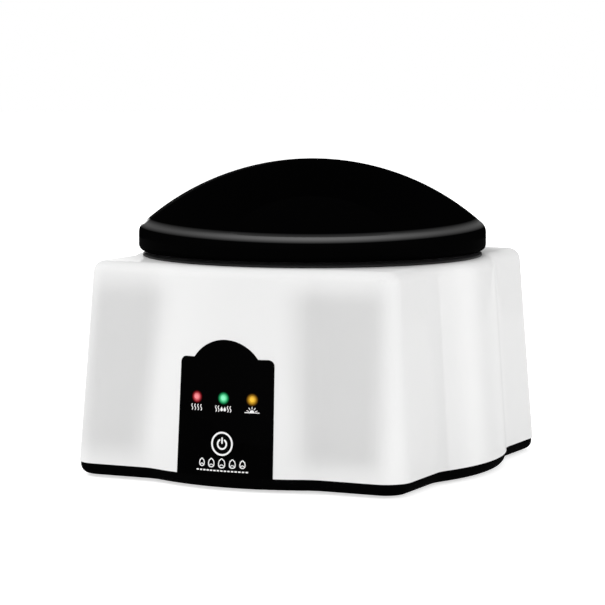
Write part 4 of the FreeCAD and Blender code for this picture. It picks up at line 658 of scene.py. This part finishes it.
def print_marks(name, node, outlines, body, rings=()):
    """One thin raised print on the front of a node: closed outlines, and rings of (cx, cz, outer, inner)."""
    skin = Skin(node)
    shape = bmesh.new()
    for outline in outlines:
        top = [shape.verts.new(skin.at(x, z, INK_UP)) for x, z in outline]
        foot = [shape.verts.new(skin.at(x, z, -INK_DOWN)) for x, z in outline]
        shape.faces.new(top)
        for i in range(len(top)):
            j = (i + 1) % len(top)
            shape.faces.new((top[j], top[i], foot[i], foot[j]))
    for cx, cz, outer, inner in rings:
        loops = []
        for radius, lift in ((outer, -INK_DOWN), (outer, INK_UP), (inner, INK_UP), (inner, -INK_DOWN)):
            spots = arc(cx, cz, radius, 0, 360, steps=RING_STEPS)[:-1]
            loops.append([shape.verts.new(skin.at(x, z, lift)) for x, z in spots])
        for one, two in zip(loops, loops[1:]):
            for i in range(RING_STEPS):
                j = (i + 1) % RING_STEPS
                shape.faces.new((one[i], one[j], two[j], two[i]))
    bmesh.ops.triangulate(shape, faces=[f for f in shape.faces if len(f.verts) > 4])
    bmesh.ops.recalc_face_normals(shape, faces=shape.faces)
    mesh = bpy.data.meshes.new(name)
    shape.to_mesh(mesh)
    shape.free()
    piece = link(mesh, name)
    dress(piece, "white_ink")
    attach(piece, body)


def power_sign():
    """An open ring with an upright bar in its gap."""
    loop = stroke(arc(0, KEY_Z - 0.15, POWER_R, 125, 415, steps=40), POWER_LINE)
    bar = stroke([(0, KEY_Z + up) for up in (0.4, 1.6, 2.75)], POWER_LINE)
    return [loop, bar]


def wave(x, sway):
    """One rising wave at the height of the signs."""
    points = []
    for i in range(WAVE_STEPS + 1):
        share = i / WAVE_STEPS
        points.append((x + sway * math.sin(FULL_TURN * share), SIGN_Z + SIGN_H * (share - 0.5)))
    return stroke(points, SIGN_LINE)


def drop(cx, cz, radius):
    """A falling drop: a round belly under a point."""
    belly = arc(cx, cz - 0.35 * radius, radius, -215, 35, steps=20)
    return belly + [(cx, cz + 1.75 * radius)]


def heat_sign():
    """Four rising waves under the left lamp."""
    return [wave(x - SIGN_PITCH, 0.32) for x in (-2.625, -0.875, 0.875, 2.625)]


def steam_sign():
    """Two drops between two pairs of waves."""
    waves = [wave(x, 0.3) for x in (-3.9, -2.5, 2.5, 3.9)]
    return waves + [drop(x, SIGN_Z - 0.2, 0.72) for x in (-0.85, 0.85)]


def warm_sign():
    """A half sun with its rays on a level line, under the right lamp."""
    foot = SIGN_Z - 1.2
    marks = [stroke([(SIGN_PITCH + x, foot) for x in (-3.6, 0, 3.6)], SIGN_LINE)]
    marks.append(arc(SIGN_PITCH, foot + 0.1, 1.15, 0, 180, steps=20))
    for degrees in (20, 55, 90, 125, 160):
        ray = [arc(SIGN_PITCH, foot, radius, degrees, degrees)[0] for radius in (1.8, 2.2, 2.75)]
        marks.append(stroke(ray, RAY_LINE))
    return marks


def nail(cx, cz, half_w, height):
    """Outline of an almond-shaped finger nail: rounded at the root and narrow at the tip."""
    low, high = cz - height / 2, cz + height / 2
    root = arc(cx, low + half_w * 0.7, half_w, 180, 360, steps=14, squash=0.7)
    tip = arc(cx, high - 0.35 * half_w, 0.35 * half_w, 20, 160, steps=8)
    right = [(cx + half_w * 1.02, cz), (cx + half_w * 0.8, cz + 0.28 * height)]
    left = [(cx - half_w * 0.8, cz + 0.28 * height), (cx - half_w * 1.02, cz)]
    return root + right + tip + left


def title_row():
    """Five nails in a row over a dotted rule, where a machine of this kind has its name."""
    marks = []
    for x, height, half_w in NAILS:
        outline = nail(x, NAIL_Z, half_w, height)
        middle = len(outline) // 2
        marks.append(stroke(outline[:middle + 1], NAIL_LINE))
        marks.append(stroke(outline[middle:] + outline[:1], NAIL_LINE))
        moon = arc(x, NAIL_Z - height / 2 + 0.2, 0.75 * half_w, 35, 145, steps=8)
        marks.append(stroke(moon, MOON_LINE))
    for i in range(RULE_DOTS):
        middle = (i - (RULE_DOTS - 1) / 2) * RULE_PITCH
        marks.append(stroke([(middle + x, RULE_Z) for x in (-0.35, 0, 0.35)], RULE_LINE))
    return marks


print_marks("power_key_print", "power_key", power_sign(), "key", rings=[(0, KEY_Z, *KEY_RING)])
print_marks("heat_print", "control_panel", heat_sign(), "base")
print_marks("steam_print", "control_panel", steam_sign(), "base")
print_marks("warm_print", "control_panel", warm_sign(), "base")
print_marks("title_print", "control_panel", title_row(), "base")

# ---------------------------------------------------------------- studio
SEEN_RAYS = ("Is Camera Ray", "Is Glossy Ray", "Is Transmission Ray")
WORLD_LEVEL = 0.715         # what the world lights the machine with; it is seen as 1, white
FLOOR_R = 6.0
FLOOR_GLOW = 0.62
ROUND_STEPS = 96
WALL_R = 1.6
WALL_TOP = 3.0
WALL_LEVEL = 3.2            # in front of the machine
WALL_LEAST = 0.12           # behind it
CARD_LEVEL = 2.2
LIGHT_AIM = Vector((0, 0, 0.07))
SLIDE_AWAY = 1.6
SLIDE_Z = 0.06
SLIDE_SPREAD = math.radians(24)
SLIDE_FADE = 0.4
FLAG_AWAY = 1.506           # from the lamp to the walls, where the pattern is drawn
FLAG_STOPS = 0.88           # of the light


def ray_mask(tree):
    """1 for rays that see a thing or its reflection, 0 for those that light it."""
    paths = add(tree, "LightPath").outputs
    total = paths[SEEN_RAYS[0]]
    for ray in SEEN_RAYS[1:]:
        total = maths(tree, "MAXIMUM", total, paths[ray])
    return total


def light_world():
    world = bpy.data.worlds.new("studio")
    bpy.context.scene.world = world
    world.use_nodes = True
    tree = world.node_tree
    background = tree.nodes["Background"]
    background.inputs["Color"].default_value = WHITE
    level = maths(tree, "MULTIPLY_ADD", ray_mask(tree), 1.0 - WORLD_LEVEL, WORLD_LEVEL)
    tree.links.new(level, background.inputs["Strength"])


def lay_floor():
    """A white floor that is clear from below."""
    shape = bmesh.new()
    bmesh.ops.create_circle(shape, cap_ends=True, cap_tris=True, segments=ROUND_STEPS, radius=FLOOR_R)
    mesh = bpy.data.meshes.new("floor")
    shape.to_mesh(mesh)
    shape.free()
    tree, shader = start_finish("floor_white", Base_Color=(0.82, 0.82, 0.82, 1.0), Roughness=0.9,
                                Specular_IOR_Level=0.0, Emission_Color=WHITE)
    tree.links.new(product(tree, ray_mask(tree), FLOOR_GLOW), shader.inputs["Emission Strength"])
    below = add(tree, "NewGeometry").outputs["Backfacing"]
    clear = add(tree, "BsdfTransparent").outputs[0]
    mixed = add(tree, "MixShader", {0: below, 1: shader.outputs[0], 2: clear})
    tree.links.new(mixed.outputs[0], tree.nodes["Material Output"].inputs["Surface"])
    mesh.materials.append(FINISHES["floor_white"])
    link(mesh, "floor")


def wall_glow():
    """Bright in front of the machine, and behind it almost dark but for a low white card on the left."""
    material = bpy.data.materials.new("wall_glow")
    material.use_nodes = True
    tree = material.node_tree
    tree.nodes.clear()
    near = reach(tree, NEAR_SIDE)
    level = remap(tree, near, -WALL_R, WALL_R, WALL_LEAST, WALL_LEVEL)
    card_across = window(tree, reach(tree, RIGHT_SIDE), low=-0.4, high=-0.08, fade=0.1)
    card_up = window(tree, reach(tree, (0.0, 0.0, 1.0)), low=0.1, high=0.42, fade=0.1)
    card = product(tree, card_across, card_up, maths(tree, "LESS_THAN", near, 0.0))
    level = maths(tree, "MULTIPLY_ADD", card, CARD_LEVEL, level)
    glow = add(tree, "Emission", {"Color": WHITE, "Strength": level})
    add(tree, "OutputMaterial", {0: glow.outputs[0]})
    return material


def raise_wall():
    """A round wall that shows only in reflections."""
    shape = bmesh.new()
    bmesh.ops.create_cone(shape, cap_ends=False, segments=ROUND_STEPS, radius1=WALL_R, radius2=WALL_R,
                          depth=WALL_TOP)
    bmesh.ops.translate(shape, verts=shape.verts, vec=(0, 0, WALL_TOP / 2))
    mesh = bpy.data.meshes.new("studio_wall")
    shape.to_mesh(mesh)
    shape.free()
    mesh.materials.append(wall_glow())
    wall = link(mesh, "studio_wall")
    for kind in ("camera", "diffuse", "transmission", "volume_scatter", "shadow"):
        setattr(wall, "visible_" + kind, False)


def hang_light(name, at, size, power):
    """A soft square light that looks at the machine and doesn't show in reflections."""
    lamp = bpy.data.lights.new(name, "AREA")
    lamp.shape = "RECTANGLE"
    lamp.size, lamp.size_y = size
    lamp.energy = power
    thing = link(lamp, name)
    thing.location = at
    thing.rotation_euler = (Vector(at) - LIGHT_AIM).to_track_quat("Z", "Y").to_euler()
    thing.visible_glossy = False


def hang_slide_light(name, turn, power, pattern):
    """A spot that throws a soft pattern at one side: the front when turned by 0, the right by 90."""
    lamp = bpy.data.lights.new(name, "SPOT")
    lamp.energy = power
    lamp.spot_size = SLIDE_SPREAD
    lamp.spot_blend = SLIDE_FADE
    lamp.shadow_soft_size = 0.0
    thing = link(lamp, name)
    turn = math.radians(turn)
    thing.location = Matrix.Rotation(turn, 3, "Z") @ Vector((0, -SLIDE_AWAY, SLIDE_Z))
    thing.rotation_euler = (math.radians(90), 0, turn)
    thing.visible_glossy = False
    lamp.use_nodes = True
    tree = lamp.node_tree
    parts = add(tree, "SeparateXYZ", {0: add(tree, "TexCoord").outputs["Normal"]}).outputs
    scale = maths(tree, "DIVIDE", FLAG_AWAY / MM, maths(tree, "ABSOLUTE", parts["Z"]))
    across = product(tree, parts["X"], scale)
    z = maths(tree, "MULTIPLY_ADD", parts["Y"], scale, SLIDE_Z / MM)
    tree.links.new(pattern(tree, across, z), tree.nodes["Emission"].inputs["Strength"])


def leaning(tree, x, z, lean, still):
    """x slid sideways with the height over the one that stays still, for an upright edge that leans."""
    return maths(tree, "MULTIPLY_ADD", maths(tree, "SUBTRACT", z, still), lean, x)


def front_flags(tree, x, z):
    """Light all over but for a soft flag over each of the two front flats. x and z are in mm."""
    left_x = leaning(tree, x, z, lean=-0.18, still=55.0)
    right_x = leaning(tree, x, z, lean=0.06, still=30.0)
    left = product(tree, window(tree, left_x, low=-87, high=-44, fade=20),
                   window(tree, z, low=13, high=97, fade=18))
    right = product(tree, step_at(tree, right_x, 37, 17), step_at(tree, x, 78, -17),
                    window(tree, z, low=14, high=97, fade=14))
    return maths(tree, "MULTIPLY_ADD", maths(tree, "ADD", left, right), -FLAG_STOPS, 1.0)


def right_streak(tree, y, z):
    """Upright streaks of light on the near corner and on the near half of the right lobe, in mm."""
    corner = product(tree, window(tree, y, low=-150, high=-84, fade=22), 0.6)
    lobe = window(tree, y, low=-27, high=-7, fade=20)
    return product(tree, maths(tree, "ADD", corner, lobe), window(tree, z, low=-20, high=130, fade=20))


light_world()
lay_floor()
raise_wall()
hang_slide_light("front_slide", turn=0, power=21.8, pattern=front_flags)
hang_slide_light("right_slide", turn=90, power=9.2, pattern=right_streak)
hang_light("high_light", at=(-1.5, -0.3, 1.65), size=(0.8, 0.8), power=15.5)
hang_light("right_light", at=(1.9, 0.1, 0.7), size=(1.2, 1.0), power=10.8)
hang_light("back_light", at=(-0.8, 1.7, 0.9), size=(1.2, 1.0), power=6.0)

bpy.context.scene.view_settings.view_transform = "Standard"

bpy.context.view_layer.update()
